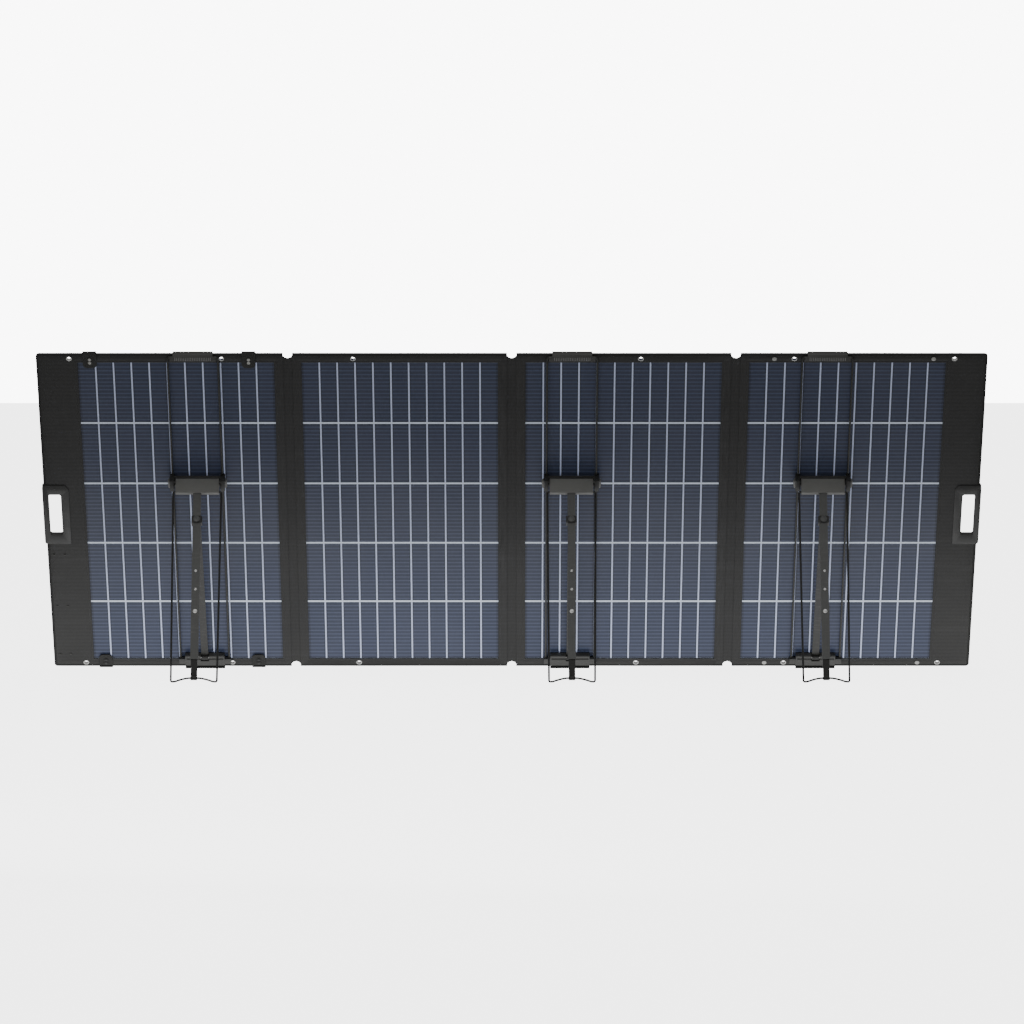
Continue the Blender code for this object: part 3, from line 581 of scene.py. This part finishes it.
@dataclass(frozen=True)
class MouldingFinish:
    """Moulded plastic, or coated or bare metal."""

    name: str
    colour: Point
    rubbed: Point
    roughness: float = 0.5
    metallic: float = 0.0
    grain: float = 0.6 * MM
    bump: float = 0.15
    wear: float = 0.35
    scuff_scale: float = 30.0

    def make(self) -> Material:
        """Returns the material."""
        material, recipe, shader, panel = new_material(self.name)
        wear = placed(recipe, SCUFFS, {"Vector": panel, "Scale": self.scuff_scale})
        base = recipe.mix(recipe.sum("MULTIPLY", wear["Streak"], self.wear), self.colour,
                          self.rubbed)
        dusty = recipe.mix(recipe.sum("MULTIPLY", wear["Dust"], 0.12), base,
                           tuple(0.5 * c + 0.04 for c in self.colour))
        rough = recipe.sum("MULTIPLY_ADD", wear["Dust"], 0.14, self.roughness - 0.05)
        pebble = placed(recipe, GRAIN, {"Vector": panel, "Size": self.grain})
        recipe.surface(shader, dusty, rough, pebble["Height"], self.bump, 0.2 * MM)
        shader.inputs["Metallic"].default_value = self.metallic
        return material


class Finishes:
    """Every finish on the object, made once."""

    def __init__(self) -> None:
        """Makes the materials."""
        self.cover = FabricFinish("cover_fabric", (0.0200, 0.0200, 0.0195),
                                  (0.0250, 0.0250, 0.0242), bump=0.22).make()
        self.binding = FabricFinish("binding_tape", (0.008, 0.008, 0.008), (0.014, 0.014, 0.013),
                                    2.2 * MM, 0.7 * MM, 0.75, 0.5).make()
        self.hinge = FabricFinish("hinge_fabric", (0.0190, 0.0190, 0.0185),
                                  (0.0240, 0.0240, 0.0232), bump=0.22).make()
        self.strap = FabricFinish("strap_webbing", (0.0120, 0.0120, 0.0115), (0.026, 0.026, 0.024),
                                  1.6 * MM, 0.8 * MM, 0.7, 0.6).make()
        self.thread = FabricFinish("sewing_thread", (0.030, 0.030, 0.029), (0.045, 0.045, 0.043),
                                   0.5 * MM, 0.3 * MM, 0.6, 0.4).make()
        self.cells = {section: CellFinish(section).make() for section in (1, 2, 3, 4)}
        plastic = MouldingFinish
        self.handle = plastic("handle_moulding", (0.017, 0.017, 0.016),
                              (0.06, 0.06, 0.055), 0.48).make()
        self.junction = plastic("junction_housing", (0.018, 0.018, 0.018),
                                (0.05, 0.05, 0.05), 0.45).make()
        self.hook = plastic("hook_moulding", (0.040, 0.040, 0.037), (0.09, 0.09, 0.085), 0.5).make()
        self.rib = plastic("rib_moulding", (0.24, 0.24, 0.235), (0.30, 0.30, 0.29), 0.45).make()
        self.carriage = plastic("carriage_moulding", (0.030, 0.030, 0.028),
                                (0.08, 0.08, 0.075), 0.5).make()
        self.button = plastic("button_moulding", (0.20, 0.20, 0.19),
                              (0.34, 0.34, 0.32), 0.45).make()
        self.head = plastic("head_moulding", (0.165, 0.165, 0.154), (0.18, 0.18, 0.165), 0.5).make()
        self.channel = plastic("leg_channel_coat", (0.105, 0.107, 0.103),
                               (0.17, 0.17, 0.16), 0.45, 0.2, 0.4 * MM, 0.08).make()
        self.strut = plastic("strut_coat", (0.030, 0.030, 0.028), (0.12, 0.12, 0.11), 0.4, 0.4,
                             0.4 * MM, 0.08).make()
        self.wire = plastic("wire_coat", (0.030, 0.030, 0.027), (0.10, 0.10, 0.09), 0.38, 0.4,
                            0.4 * MM, 0.06).make()
        self.pin = plastic("pin_steel", (0.55, 0.55, 0.53), (0.7, 0.7, 0.68), 0.32, 0.9,
                           0.3 * MM, 0.05).make()
        self.nickel = plastic("bright_nickel", (0.72, 0.72, 0.70), (0.8, 0.8, 0.78), 0.3, 0.85,
                              0.3 * MM, 0.04, 0.2).make()
        self.stud = plastic("stud_nickel", (0.42, 0.42, 0.40), (0.6, 0.6, 0.58), 0.35, 0.7,
                            0.3 * MM, 0.04, 0.2).make()


# ---------------------------------------------------------------- soft pieces

@dataclass
class StitchRow:
    """Rows of sewing thread along straight seams."""

    pitch: float = 4.6 * MM
    length: float = 3.1 * MM
    width: float = 0.75 * MM
    height: float = 0.45 * MM
    made: list[Piece] = field(default_factory=list)

    def row(self, start: tuple[float, float], end: tuple[float, float], z: float) -> None:
        """Adds one row of stitches.

        Args:
            start: x and y of the row's first stitch.
            end: x and y of its last stitch.
            z: Height of the fabric's face; the stitches lie half sunk in it.
        """
        run = Vector(end) - Vector(start)
        count = max(2, round(run.length / self.pitch))
        upright = abs(run.y) > abs(run.x)
        flat = (self.width, self.length) if upright else (self.length, self.width)
        size = (*flat, self.height)
        stitch = Bench.start(bpy.ops.mesh.primitive_cube_add, "stitch", size, size=1,
                             location=(start[0], start[1], z))
        along = 1 if upright else 0
        Bench.pick(stitch, "EDGE",
                   lambda edge: abs((edge.verts[0].co - edge.verts[1].co)[along]) > TINY * 100)
        bpy.ops.mesh.bevel(offset=0.16 * MM, segments=1)
        Bench.done()
        step = run / count
        Bench.repeat(stitch, count + 1, (step.x, step.y, 0.0))
        self.made.append(stitch)

    def ring(self, low: tuple[float, float], high: tuple[float, float], z: float) -> None:
        """Adds a rectangle of four rows."""
        corners = [(low[0], low[1]), (high[0], low[1]), (high[0], high[1]), (low[0], high[1])]
        for start, end in zip(corners, corners[1:] + corners[:1]):
            self.row(start, end, z)


@dataclass
class FabricCover:
    """One section's fabric cover, with its window, hems, holes and stitching."""

    section: int
    body: str
    hem: float = 5.5 * MM
    window_hem: float = 4.5 * MM
    groove: float = 0.35 * MM
    seam_half: float = 0.7 * MM
    cut_pitch: float = 24 * MM
    ripple: float = 0.35 * MM
    notch_inner: float = 876.7 * MM
    notch_low: float = 338.2 * MM
    notch_high: float = 476.8 * MM

    def lines(self, low: float, high: float, window: tuple[float, float], pitch: float
              ) -> list[float]:
        """Returns where the sheet is cut through along one axis.

        Args:
            low: The sheet's lower edge.
            high: Its upper edge.
            window: The window's two edges.
            pitch: Spacing of the plain cuts.

        Returns:
            The places, hems and window edges first.
        """
        seams = (low + self.hem, high - self.hem,
                 window[0] - self.window_hem, window[1] + self.window_hem)
        cuts = [seam + side * self.seam_half for seam in seams for side in (-1, 0, 1)]
        kept = sorted(set(round(place, 6) for place in [*window, *cuts]
                          if low + TINY < place < high - TINY))
        count = round((high - low) / pitch)
        for i in range(1, count):
            place = low + (high - low) * i / count
            if all(abs(place - other) > 2.5 * MM for other in kept):
                kept.append(place)
        return kept

    def build(self) -> Piece:
        """Models the cover.

        Returns:
            The cover in the panel's axes.
        """
        left, right = SIZES.cover_span(self.section)
        window_x = SIZES.window_span(self.section)
        window_y = (SIZES.border, SIZES.height - SIZES.border)
        sheet = Bench.start(bpy.ops.mesh.primitive_plane_add, f"fabric_cover_{self.section}",
                            (right - left, SIZES.height, 1), size=1,
                            location=((left + right) / 2, SIZES.height / 2, 0))
        outer = {1: left, 4: right}.get(self.section)
        if outer is not None:
            Bench.pick(sheet, "VERT", lambda vert: abs(vert.co.x - outer) < TINY * 10)
            bpy.ops.mesh.bevel(affect="VERTICES", offset=SIZES.outer_corner, segments=5)
            Bench.done()
        Bench.slice(sheet, 0, self.lines(left, right, window_x, self.cut_pitch))
        Bench.slice(sheet, 1, self.lines(0.0, SIZES.height, window_y, self.cut_pitch))

        def in_window(face: Any) -> bool:
            middle = face.calc_center_median()
            return window_x[0] < middle.x < window_x[1] and window_y[0] < middle.y < window_y[1]

        Bench.pick(sheet, "FACE", in_window)
        bpy.ops.mesh.delete(type="FACE")
        Bench.done()
        Bench.modify(sheet, "SOLIDIFY", thickness=SIZES.thick, offset=0.0)
        self.sew(sheet, left, right, window_x, window_y)
        Bench.bevel(sheet, 1.5 * MM, 3, 50)
        self.ruffle(sheet)
        for x in EYELETS[self.section]:
            for y in (SIZES.eyelet_inset, SIZES.height - SIZES.eyelet_inset):
                Bench.bore(sheet, x, y, SIZES.eyelet_radius, 20)
        if outer is not None:
            side = -1 if self.section == 1 else 1
            width, tall = 60 * MM, self.notch_high - self.notch_low
            Bench.cut(sheet, Bench.start(
                bpy.ops.mesh.primitive_cube_add, "notch", (width, tall, 20 * MM), size=1,
                location=(side * (self.notch_inner + width / 2), self.notch_low + tall / 2, 0)))
        return sheet

    def sew(self, sheet: Piece, left: float, right: float, window_x: tuple[float, float],
            window_y: tuple[float, float]) -> None:
        """Draws the seam lines in, between the hems and the plain fabric."""
        def on_seam(vert: Any) -> bool:
            x, y = vert.co.x, vert.co.y
            outer = min(x - left, right - x, y, SIZES.height - y)
            near = max(window_x[0] - x, x - window_x[1], window_y[0] - y, y - window_y[1])
            return abs(outer - self.hem) < 0.1 * MM or abs(near - self.window_hem) < 0.1 * MM

        Bench.pick(sheet, "VERT", on_seam)
        bpy.ops.transform.resize(value=(1, 1, 1 - 2 * self.groove / SIZES.thick),
                                 center_override=(0, 0, 0))
        Bench.done()

    def bound_faces(self, sheet: Piece) -> list[int]:
        """Returns the faces of the binding tape along the outer edges."""
        left = -SIZES.outer_x if self.section == 1 else -1.0
        right = SIZES.outer_x if self.section == 4 else 1.0
        bound = []
        for face in sheet.data.polygons:
            x, y = face.center.x, face.center.y
            if min(x - left, right - x, y, SIZES.height - y) < self.hem - self.groove:
                bound.append(face.index)
        return bound

    def ruffle(self, sheet: Piece) -> None:
        """Gives the fabric its slight unevenness."""
        texture = bpy.data.textures.new(f"ruffle_{self.section}", "CLOUDS")
        texture.noise_scale = 0.06
        texture.noise_depth = 2
        Bench.modify(sheet, "DISPLACE", texture=texture, texture_coords="LOCAL", direction="Z",
                     strength=self.ripple, mid_level=0.5)

    def stitches(self) -> Piece:
        """Models the stitching round the window and the cover, on both faces."""
        left, right = SIZES.cover_span(self.section)
        window = SIZES.window_span(self.section)
        rows = StitchRow()
        height = SIZES.thick / 2 - self.groove + 0.15 * MM
        edge, top = 9 * MM, SIZES.height - self.hem
        for z in (height, -height):
            rows.ring((window[0] - self.window_hem, SIZES.border - self.window_hem),
                      (window[1] + self.window_hem,
                       SIZES.height - SIZES.border + self.window_hem), z)
            rows.row((left + edge, self.hem), (right - edge, self.hem), z)
            rows.row((left + edge, top), (right - edge, top), z)
            if self.section in (1, 4):
                x = left + self.hem if self.section == 1 else right - self.hem
                rows.row((x, edge), (x, 326 * MM), z)
                rows.row((x, 489 * MM), (x, SIZES.height - edge), z)
        return Bench.merge(f"cover_stitching_{self.section}", rows.made)

    def dress(self, finishes: Finishes) -> None:
        """Builds, finishes and mounts the cover and its stitching."""
        sheet = self.build()
        bound = self.bound_faces(sheet)
        Bench.settle(sheet, PLACE.panel)
        dress(sheet, finishes.cover)
        sheet.data.materials.append(finishes.binding)
        for index in bound:
            sheet.data.polygons[index].material_index = 1
        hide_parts(f"cover_{self.section}")
        thread = Bench.settle(self.stitches(), PLACE.panel)
        dress(thread, finishes.thread)
        for piece in (sheet, thread):
            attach(piece, self.body)
            report(piece)


@dataclass
class FoldStrip:
    """The fabric strip across one fold line, with a half-round notch at each end."""

    number: int
    x: float
    bodies: tuple[str, str]
    half: float = 9.0 * MM
    thick: float = 3.4 * MM
    notch_centre: float = 2.9 * MM
    notch_radius: float = 9.15 * MM

    def build(self) -> Piece:
        """Models the strip in the panel's axes."""
        low, high = self.notch_centre, SIZES.height - self.notch_centre
        strip = Bench.start(bpy.ops.mesh.primitive_plane_add, f"fold_strip_{self.number}",
                            (2 * self.half, high - low, 1), size=1,
                            location=(self.x, SIZES.height / 2, 0))
        Bench.slice(strip, 0, [self.x + self.half * i / 6 for i in range(-5, 6)])
        Bench.slice(strip, 1, [low + (high - low) * i / 50 for i in range(1, 50)])
        Bench.modify(strip, "SOLIDIFY", thickness=self.thick, offset=0.0)
        Bench.pick(strip, "VERT", lambda vert: abs(vert.co.x - self.x) < 0.1 * MM)
        bpy.ops.transform.resize(value=(1, 1, 0.62), center_override=(0, 0, 0))
        Bench.done()
        for y in (low, high):
            Bench.bore(strip, self.x, y, self.notch_radius, 40)
        return strip

    def dress(self, finishes: Finishes) -> None:
        """Builds and finishes the strip, set in the object's frame on no body."""
        strip = Bench.settle(self.build(), PLACE.panel, 60)
        dress(strip, finishes.hinge)
        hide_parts(f"fabric_hinge_{self.number}")
        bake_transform(strip)
        report(strip)


@dataclass
class ClosingStrap:
    """A closing strap, folded over the panel's edge, with a press stud near its tip."""

    number: int
    top: bool
    width: float = 26.6 * MM
    length: float = 32.7 * MM
    loop: float = 3.2 * MM            # slack over the top edge
    thick: float = 1.45 * MM
    tip: float = 8.5 * MM
    studs: tuple[float, float] = (11 * MM, 19 * MM)
    turn_down: tuple[Point, ...] = ((0, -0.02 * MM, -1.2 * MM), (0, 0, -1.6 * MM),
                                    (0, 0, -1.6 * MM), (0, 0, -1.5 * MM))

    @property
    def name(self) -> str:
        """Returns the strap's CAD name."""
        return f"strap_{'top' if self.top else 'bottom'}_{self.number}"

    def build(self) -> Piece:
        """Models the strap with its tip up the panel, from the bottom edge."""
        x = STRAPS[self.number]
        lie = SIZES.thick / 2 + 0.35 * MM + self.thick / 2
        start = -(self.loop if self.top else 0.3 * MM) - self.thick / 2
        tongue = Bench.start(bpy.ops.mesh.primitive_plane_add, self.name + "_webbing",
                             (self.width, self.length - start, 1), size=1,
                             location=(x, (self.length + start) / 2, lie))
        Bench.pick(tongue, "VERT", lambda vert: vert.co.y > self.length / 2)
        bpy.ops.mesh.bevel(affect="VERTICES", offset=self.tip, segments=5)
        Bench.done()
        Bench.slice(tongue, 0, [x + self.width * f for f in (-0.44, -0.4, -0.2, 0, 0.2, 0.4, 0.44)])
        Bench.slice(tongue, 1, [start + 4 * MM * i for i in range(1, 9)])
        for shift in self.turn_down:
            low = min((tongue.matrix_world @ vert.co).z for vert in tongue.data.vertices)
            Bench.pick(tongue, "EDGE", lambda edge: edge.is_boundary and all(
                vert.co.y < start + 0.3 * MM and vert.co.z < low + 0.01 * MM for vert in edge.verts)
                and abs(edge.verts[0].co.x - edge.verts[1].co.x) > TINY)
            bpy.ops.mesh.extrude_region_move(TRANSFORM_OT_translate={"value": shift})
            Bench.done()
        Bench.modify(tongue, "SOLIDIFY", thickness=self.thick, offset=0.0)
        Bench.bevel(tongue, 0.35 * MM, 2, 50)
        return tongue

    def mirrored(self) -> Matrix:
        """Returns the matrix that sets the strap at its own edge."""
        if not self.top:
            return PLACE.panel
        flip = Matrix.Translation((0, SIZES.height, 0)) @ Matrix.Diagonal((1, -1, 1, 1))
        return PLACE.panel @ flip

    def dress(self, finishes: Finishes) -> None:
        """Builds, finishes and mounts the strap, its stitching and its stud."""
        x = STRAPS[self.number]
        strap = Bench.settle(self.build(), self.mirrored())
        lie = SIZES.thick / 2 + 0.35 * MM + self.thick
        rows = StitchRow(3.4 * MM, 2.4 * MM, 0.6 * MM, 0.4 * MM)
        side = self.width * 0.42
        rows.row((x - side, 2 * MM), (x - side, self.length - self.tip - 2 * MM), lie)
        rows.row((x + side, 2 * MM), (x + side, self.length - self.tip - 2 * MM), lie)
        rows.row((x - side + 2 * MM, 3 * MM), (x + side - 2 * MM, 3 * MM), lie)
        thread = Bench.settle(Bench.merge(self.name + "_stitching", rows.made), self.mirrored())
        radius = 3.4 * MM
        studs = [PressStud(radius, 1.8 * MM).build("stud", (x, y, lie)) for y in self.studs]
        stud = Bench.settle(Bench.merge(self.name + "_studs", studs), self.mirrored(), 50)
        if self.top:
            for piece in (strap, thread, stud):
                Bench.pick(piece, "FACE", lambda face: True)
                bpy.ops.mesh.normals_make_consistent(inside=False)
                Bench.done()
        dress(strap, finishes.strap)
        dress(thread, finishes.thread)
        # The bottom straps' caps take the dark housing finish instead of nickel: painted shade, for
        # the shadow the bottom studs lie in.
        dress(stud, finishes.stud if self.top else finishes.junction)
        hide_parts(self.name)
        for piece in (strap, thread, stud):
            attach(piece, self.name)
            report(piece)


# ---------------------------------------------------------------- small fasteners

@dataclass
class PressStud:
    """A press stud's domed cap, with a rolled rim."""

    radius: float
    height: float

    def build(self, name: str, place: Point) -> Piece:
        """Models the cap, standing on its place along z.

        Args:
            name: The piece's name.
            place: The middle of its foot.

        Returns:
            The cap.
        """
        middle = (place[0], place[1], place[2] + self.height / 2 - 0.2 * MM)
        cap = Bench.start(bpy.ops.mesh.primitive_cylinder_add, name, vertices=24,
                          radius=self.radius, depth=self.height, location=middle)
        Bench.pick(cap, "FACE", lambda face: face.normal.z > 0.9)
        bpy.ops.mesh.inset(thickness=self.radius * 0.2)
        bpy.ops.transform.translate(value=(0, 0, -self.height * 0.3))
        bpy.ops.mesh.inset(thickness=self.radius * 0.16)
        bpy.ops.transform.translate(value=(0, 0, self.height * 0.4))
        bpy.ops.mesh.inset(thickness=self.radius * 0.3)
        bpy.ops.transform.translate(value=(0, 0, self.height * 0.2))
        Bench.done()
        Bench.bevel(cap, 0.25 * MM, 2, 35)
        return cap


@dataclass
class Eyelet:
    """A pressed eyelet through a cover's hem: a rolled flange on each face and a barrel between."""

    radius: float = 5.5 * MM
    bore: float = 4.1 * MM
    flange: float = 0.45 * MM

    def build(self) -> Piece:
        """Models one eyelet at the origin."""
        depth = SIZES.thick + 2 * self.flange
        ring = Bench.start(bpy.ops.mesh.primitive_cylinder_add, "eyelet", vertices=28,
                           radius=self.radius, depth=depth, location=(0, 0, 0))
        Bench.pick(ring, "FACE", lambda face: abs(face.normal.z) > 0.9)
        bpy.ops.mesh.inset(thickness=(self.radius - self.bore) * 0.55)
        bpy.ops.mesh.inset(thickness=(self.radius - self.bore) * 0.45)
        Bench.done()
        Bench.pick(ring, "FACE", lambda face: abs(face.normal.z) > 0.9 and len(face.verts) > 8)
        bpy.ops.mesh.bridge_edge_loops()
        Bench.done()
        low, high = self.bore + 0.2 * MM, self.radius - 0.2 * MM
        Bench.pick(ring, "VERT", lambda vert: low < vert.co.xy.length < high)
        bpy.ops.transform.resize(value=(1, 1, 1.06), center_override=(0, 0, 0))
        Bench.done()
        Bench.bevel(ring, 0.3 * MM, 3, 35)
        return ring


@dataclass
class Fasteners:
    """Eyelets, stud sockets and rivets on the covers, and the rivets on the legs."""

    border_rivets: tuple[float, ...] = (301 * MM, 163 * MM, 33 * MM)
    rivet_columns: tuple[float, ...] = (-905 * MM, -883.5 * MM)
    socket_columns: tuple[float, ...] = (506.5 * MM, 813.3 * MM)
    leg_rivets: tuple[tuple[float, float], ...] = ((182 * MM, 2.6 * MM), (220.5 * MM, 2.6 * MM),
                                                   (266 * MM, 4.2 * MM))

    def dress(self, finishes: Finishes) -> None:
        """Builds, finishes and mounts every small fastener."""
        pattern = Eyelet().build()
        for section, places in EYELETS.items():
            made = [Bench.copy(pattern, (x, y, 0)) for x in places
                    for y in (SIZES.eyelet_inset, SIZES.height - SIZES.eyelet_inset)]
            mount(Bench.merge(f"eyelets_{section}", made), PLACE.panel, finishes.nickel,
                  f"panel_{section}")
        bpy.data.objects.remove(pattern)
        sockets = []
        face = SIZES.thick / 2
        for x in self.socket_columns:
            for y in (SIZES.eyelet_inset, SIZES.height - SIZES.eyelet_inset):
                sockets.append(PressStud(4.6 * MM, 1.6 * MM).build("socket", (x, y, face)))
        mount(Bench.merge("stud_sockets", sockets), PLACE.panel, finishes.stud, "panel_4")
        rivets = [PressStud(2.5 * MM, 1.0 * MM).build("rivet", (x, y, face))
                  for x in self.rivet_columns for y in self.border_rivets]
        mount(Bench.merge("border_rivets", rivets), PLACE.panel, finishes.strut, "panel_1")
        for number in STANDS:
            made = [PressStud(radius, 1.0 * MM).build("leg_rivet", (0, -down, 3 * MM))
                    for down, radius in self.leg_rivets]
            mount(Bench.merge(f"leg_rivets_{number}", made), PLACE.matrix(Axes.LEG, number),
                  finishes.nickel, f"leg_{number}")


# ---------------------------------------------------------------- mouldings and metal

@dataclass
class Moulding:
    """A CAD node worked over: its facets merged and its edges rounded."""

    node: str
    body: str
    slot: str
    edge: float = 0.5 * MM

    def dress(self, material: Material) -> Piece:
        """Rounds the node's edges on a copy that stands for it.

        Args:
            material: The copy's finish.

        Returns:
            The copy.
        """
        source = frame["nodes"][self.node]
        mesh = source.data.copy()
        piece = bpy.data.objects.new(self.node + "_finished", mesh)
        bpy.context.scene.collection.objects.link(piece)
        piece.matrix_world = source.matrix_world.copy()
        Bench.only(piece)
        bpy.ops.object.transform_apply(location=True, rotation=True, scale=True)
        Bench.pick(piece, "VERT", lambda vert: True)
        bpy.ops.mesh.remove_doubles(threshold=0.01 * MM)
        bpy.ops.mesh.dissolve_limited(angle_limit=math.radians(1.0))
        Bench.done()
        Bench.modify(piece, "BEVEL", width=self.edge, segments=2, limit_method="ANGLE",
                     angle_limit=math.radians(38), use_clamp_overlap=True)
        Bench.only(piece)
        bpy.ops.object.shade_smooth_by_angle(angle=math.radians(38))
        dress(piece, material)
        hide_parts(self.node)
        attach(piece, self.body)
        report(piece)
        return piece


def keep_node(node: str, material: Material) -> None:
    """Gives a CAD node that stays its finish."""
    piece = frame["nodes"][node]
    piece.data.materials.clear()
    piece.data.materials.append(material)
    log.info("%s: CAD node kept", node)


@dataclass
class HookRibs:
    """The raised grip ribs on a top hook's back."""

    stand: int
    x: float
    count: int = 21
    pitch: float = 3.4 * MM
    size: Point = (1.5 * MM, 8.6 * MM, 1.2 * MM)
    middle_y: float = 814.6 * MM
    back: float = 10.6 * MM

    def dress(self, finishes: Finishes) -> None:
        """Builds, finishes and mounts the ribs."""
        first = self.x - self.pitch * (self.count - 1) / 2
        rib = Bench.start(bpy.ops.mesh.primitive_cube_add, f"hook_ribs_{self.stand}", self.size,
                          size=1, location=(first, self.middle_y, self.back))
        Bench.pick(rib, "FACE", lambda face: face.normal.z > 0.9)
        bpy.ops.transform.resize(value=(0.6, 0.86, 1.0))
        Bench.done()
        Bench.modify(rib, "BEVEL", width=0.2 * MM, segments=2)
        Bench.repeat(rib, self.count, (self.pitch, 0, 0))
        mount(rib, PLACE.panel, finishes.rib, f"top_hook_{self.stand}", 40.0)


KNUCKLE_CAP = (0, -75 * MM, 6.6 * MM)          # foot of the cap, in the leg's axes


class HardParts:
    """Handles, junction box and stands."""

    def dress(self, finishes: Finishes) -> None:
        """Finishes every moulding and metal part."""
        for section in (1, 2, 3, 4):
            keep_node(f"laminate_{section}", finishes.cells[section])
        Moulding("handle_left", "panel_1", "handle_moulding", 0.8 * MM).dress(finishes.handle)
        Moulding("handle_right", "panel_4", "handle_moulding", 0.8 * MM).dress(finishes.handle)
        Moulding("junction_box", "panel_1", "junction_housing", 1.0 * MM).dress(finishes.junction)
        for number, (section, x) in STANDS.items():
            self.stand(number, f"panel_{section}", finishes)
            HookRibs(number, x).dress(finishes)
            cap = PressStud(6.3 * MM, 1.5 * MM).build(f"knuckle_cap_{number}", KNUCKLE_CAP)
            mount(cap, PLACE.matrix(Axes.LEG, number), finishes.channel, f"leg_{number}")

    def stand(self, number: int, panel: str, finishes: Finishes) -> None:
        """Finishes one stand.

        Args:
            number: The stand's number.
            panel: The body of the section it hangs on.
            finishes: The object's finishes.
        """
        leg, carriage = f"leg_{number}", f"carriage_{number}"
        hook, left, right = (f"{name}_{number}" for name in ("top_hook", "button_left",
                                                             "button_right"))
        rounded = (
            (hook, hook, "hook_moulding", 0.7, finishes.hook),
            (f"bottom_bracket_{number}", panel, "hook_moulding", 0.5, finishes.hook),
            (carriage, carriage, "carriage_moulding", 0.5, finishes.carriage),
            (left, left, "button_moulding", 0.5, finishes.button),
            (right, right, "button_moulding", 0.5, finishes.button),
            (f"leg_head_{number}", leg, "head_moulding", 0.6, finishes.head),
            (f"knuckle_{number}", leg, "carriage_moulding", 0.4, finishes.carriage),
        )
        for node, body, slot, edge, material in rounded:
            Moulding(node, body, slot, edge * MM).dress(material)
        for node, material in (("panel_wire", finishes.wire), ("leg_wire", finishes.wire),
                               ("leg_channel", finishes.channel), ("foot_bar", finishes.strut),
                               ("strut", finishes.strut), ("bottom_pin", finishes.pin),
                               ("carriage_axle", finishes.strut)):
            keep_node(f"{node}_{number}", material)


# ---------------------------------------------------------------- stage

@dataclass
class Stage:
    """Floor, light and camera."""

    elevation: float = 1.9613            # degrees above the horizon
    distance: float = 13.142
    aim_height: float = 0.32268
    lens: float = 234.852
    sensor: float = 36.0
    sky: float = 0.28                 # strength as light
    sky_seen: float = 9.0             # strength behind the object
    floor_seen: float = 4.0
    aside: float = 0.0006                # camera's place along x

    def floor(self) -> None:
        """Adds the pale floor."""
        floor = Bench.start(bpy.ops.mesh.primitive_plane_add, "floor", size=60,
                            location=(0, 0, -0.5 * MM))
        material = bpy.data.materials.new("floor_white")
        material.use_nodes = True
        shader = material.node_tree.nodes["Principled BSDF"]
        shader.inputs["Base Color"].default_value = (0.9, 0.9, 0.9, 1)
        shader.inputs["Roughness"].default_value = 0.9
        shader.inputs["Emission Color"].default_value = (1, 1, 1, 1)
        recipe = Recipe(material.node_tree)
        seen = recipe.node("LightPath").outputs["Is Camera Ray"]
        material.node_tree.links.new(recipe.sum("MULTIPLY", seen, self.floor_seen),
                                     shader.inputs["Emission Strength"])
        floor.data.materials.append(material)

    def light(self, name: str, place: Point, aim: Point, size: tuple[float, float],
              power: float) -> None:
        """Adds one soft light.

        Args:
            name: The light's name.
            place: Where it stands.
            aim: What it points at.
            size: Its width and height.
            power: Its power in watts.
        """
        data = bpy.data.lights.new(name, "AREA")
        data.shape, data.size, data.size_y, data.energy = "RECTANGLE", size[0], size[1], power
        lamp = bpy.data.objects.new(name, data)
        bpy.context.scene.collection.objects.link(lamp)
        lamp.location = place
        lamp.rotation_euler = (Vector(aim) - Vector(place)).to_track_quat("-Z", "Y").to_euler()
        lamp.visible_camera = False

    def lights(self) -> None:
        """Adds the soft studio light."""
        world = bpy.data.worlds.new("studio")
        world.use_nodes = True
        recipe = Recipe(world.node_tree)
        seen = recipe.node("LightPath").outputs["Is Camera Ray"]
        strength = recipe.sum("MULTIPLY_ADD", seen, self.sky_seen - self.sky, self.sky)
        world.node_tree.links.new(strength, world.node_tree.nodes["Background"].inputs[1])
        world.node_tree.nodes["Background"].inputs[0].default_value = (1, 1, 1, 1)
        bpy.context.scene.world = world
        self.light("overhead", (0.0, -1.6, 4.5), (0, 0.2, 0.3), (5, 3), 45)
        self.light("front", (-1.5, -4.0, 1.0), (0, 0, 0.3), (4, 1.5), 18)
        self.light("floor_glow", (0.0, 0.08, 0.006), (0.0, 0.08, 1.0), (2.1, 0.36), 2.7)

    def camera(self) -> None:
        """Adds the camera, level with the panel and far off."""
        tilt = math.radians(self.elevation)
        data = bpy.data.cameras.new("camera")
        data.lens, data.sensor_width, data.sensor_height = self.lens, self.sensor, self.sensor
        data.clip_start, data.clip_end = 0.1, 100
        camera = bpy.data.objects.new("camera", data)
        bpy.context.scene.collection.objects.link(camera)
        camera.location = (self.aside, -self.distance * math.cos(tilt),
                           self.aim_height + self.distance * math.sin(tilt))
        camera.rotation_euler = (math.pi / 2 - tilt, 0, 0)
        bpy.context.scene.camera = camera


def main() -> None:
    """Builds the stage and dresses the panel."""
    logging.basicConfig(level=logging.INFO, format="%(message)s")
    stage = Stage()
    stage.camera()
    finishes = Finishes()
    HardParts().dress(finishes)
    for section in (1, 2, 3, 4):
        FabricCover(section, f"panel_{section}").dress(finishes)
    for number, x in ((1, -SIZES.fold_x), (2, 0.0), (3, SIZES.fold_x)):
        FoldStrip(number, x, (f"panel_{number}", f"panel_{number + 1}")).dress(finishes)
    for number in STRAPS:
        for top in (True, False):
            ClosingStrap(number, top).dress(finishes)
    Fasteners().dress(finishes)
    stage.floor()
    stage.lights()


if __name__ == "__main__":
    main()
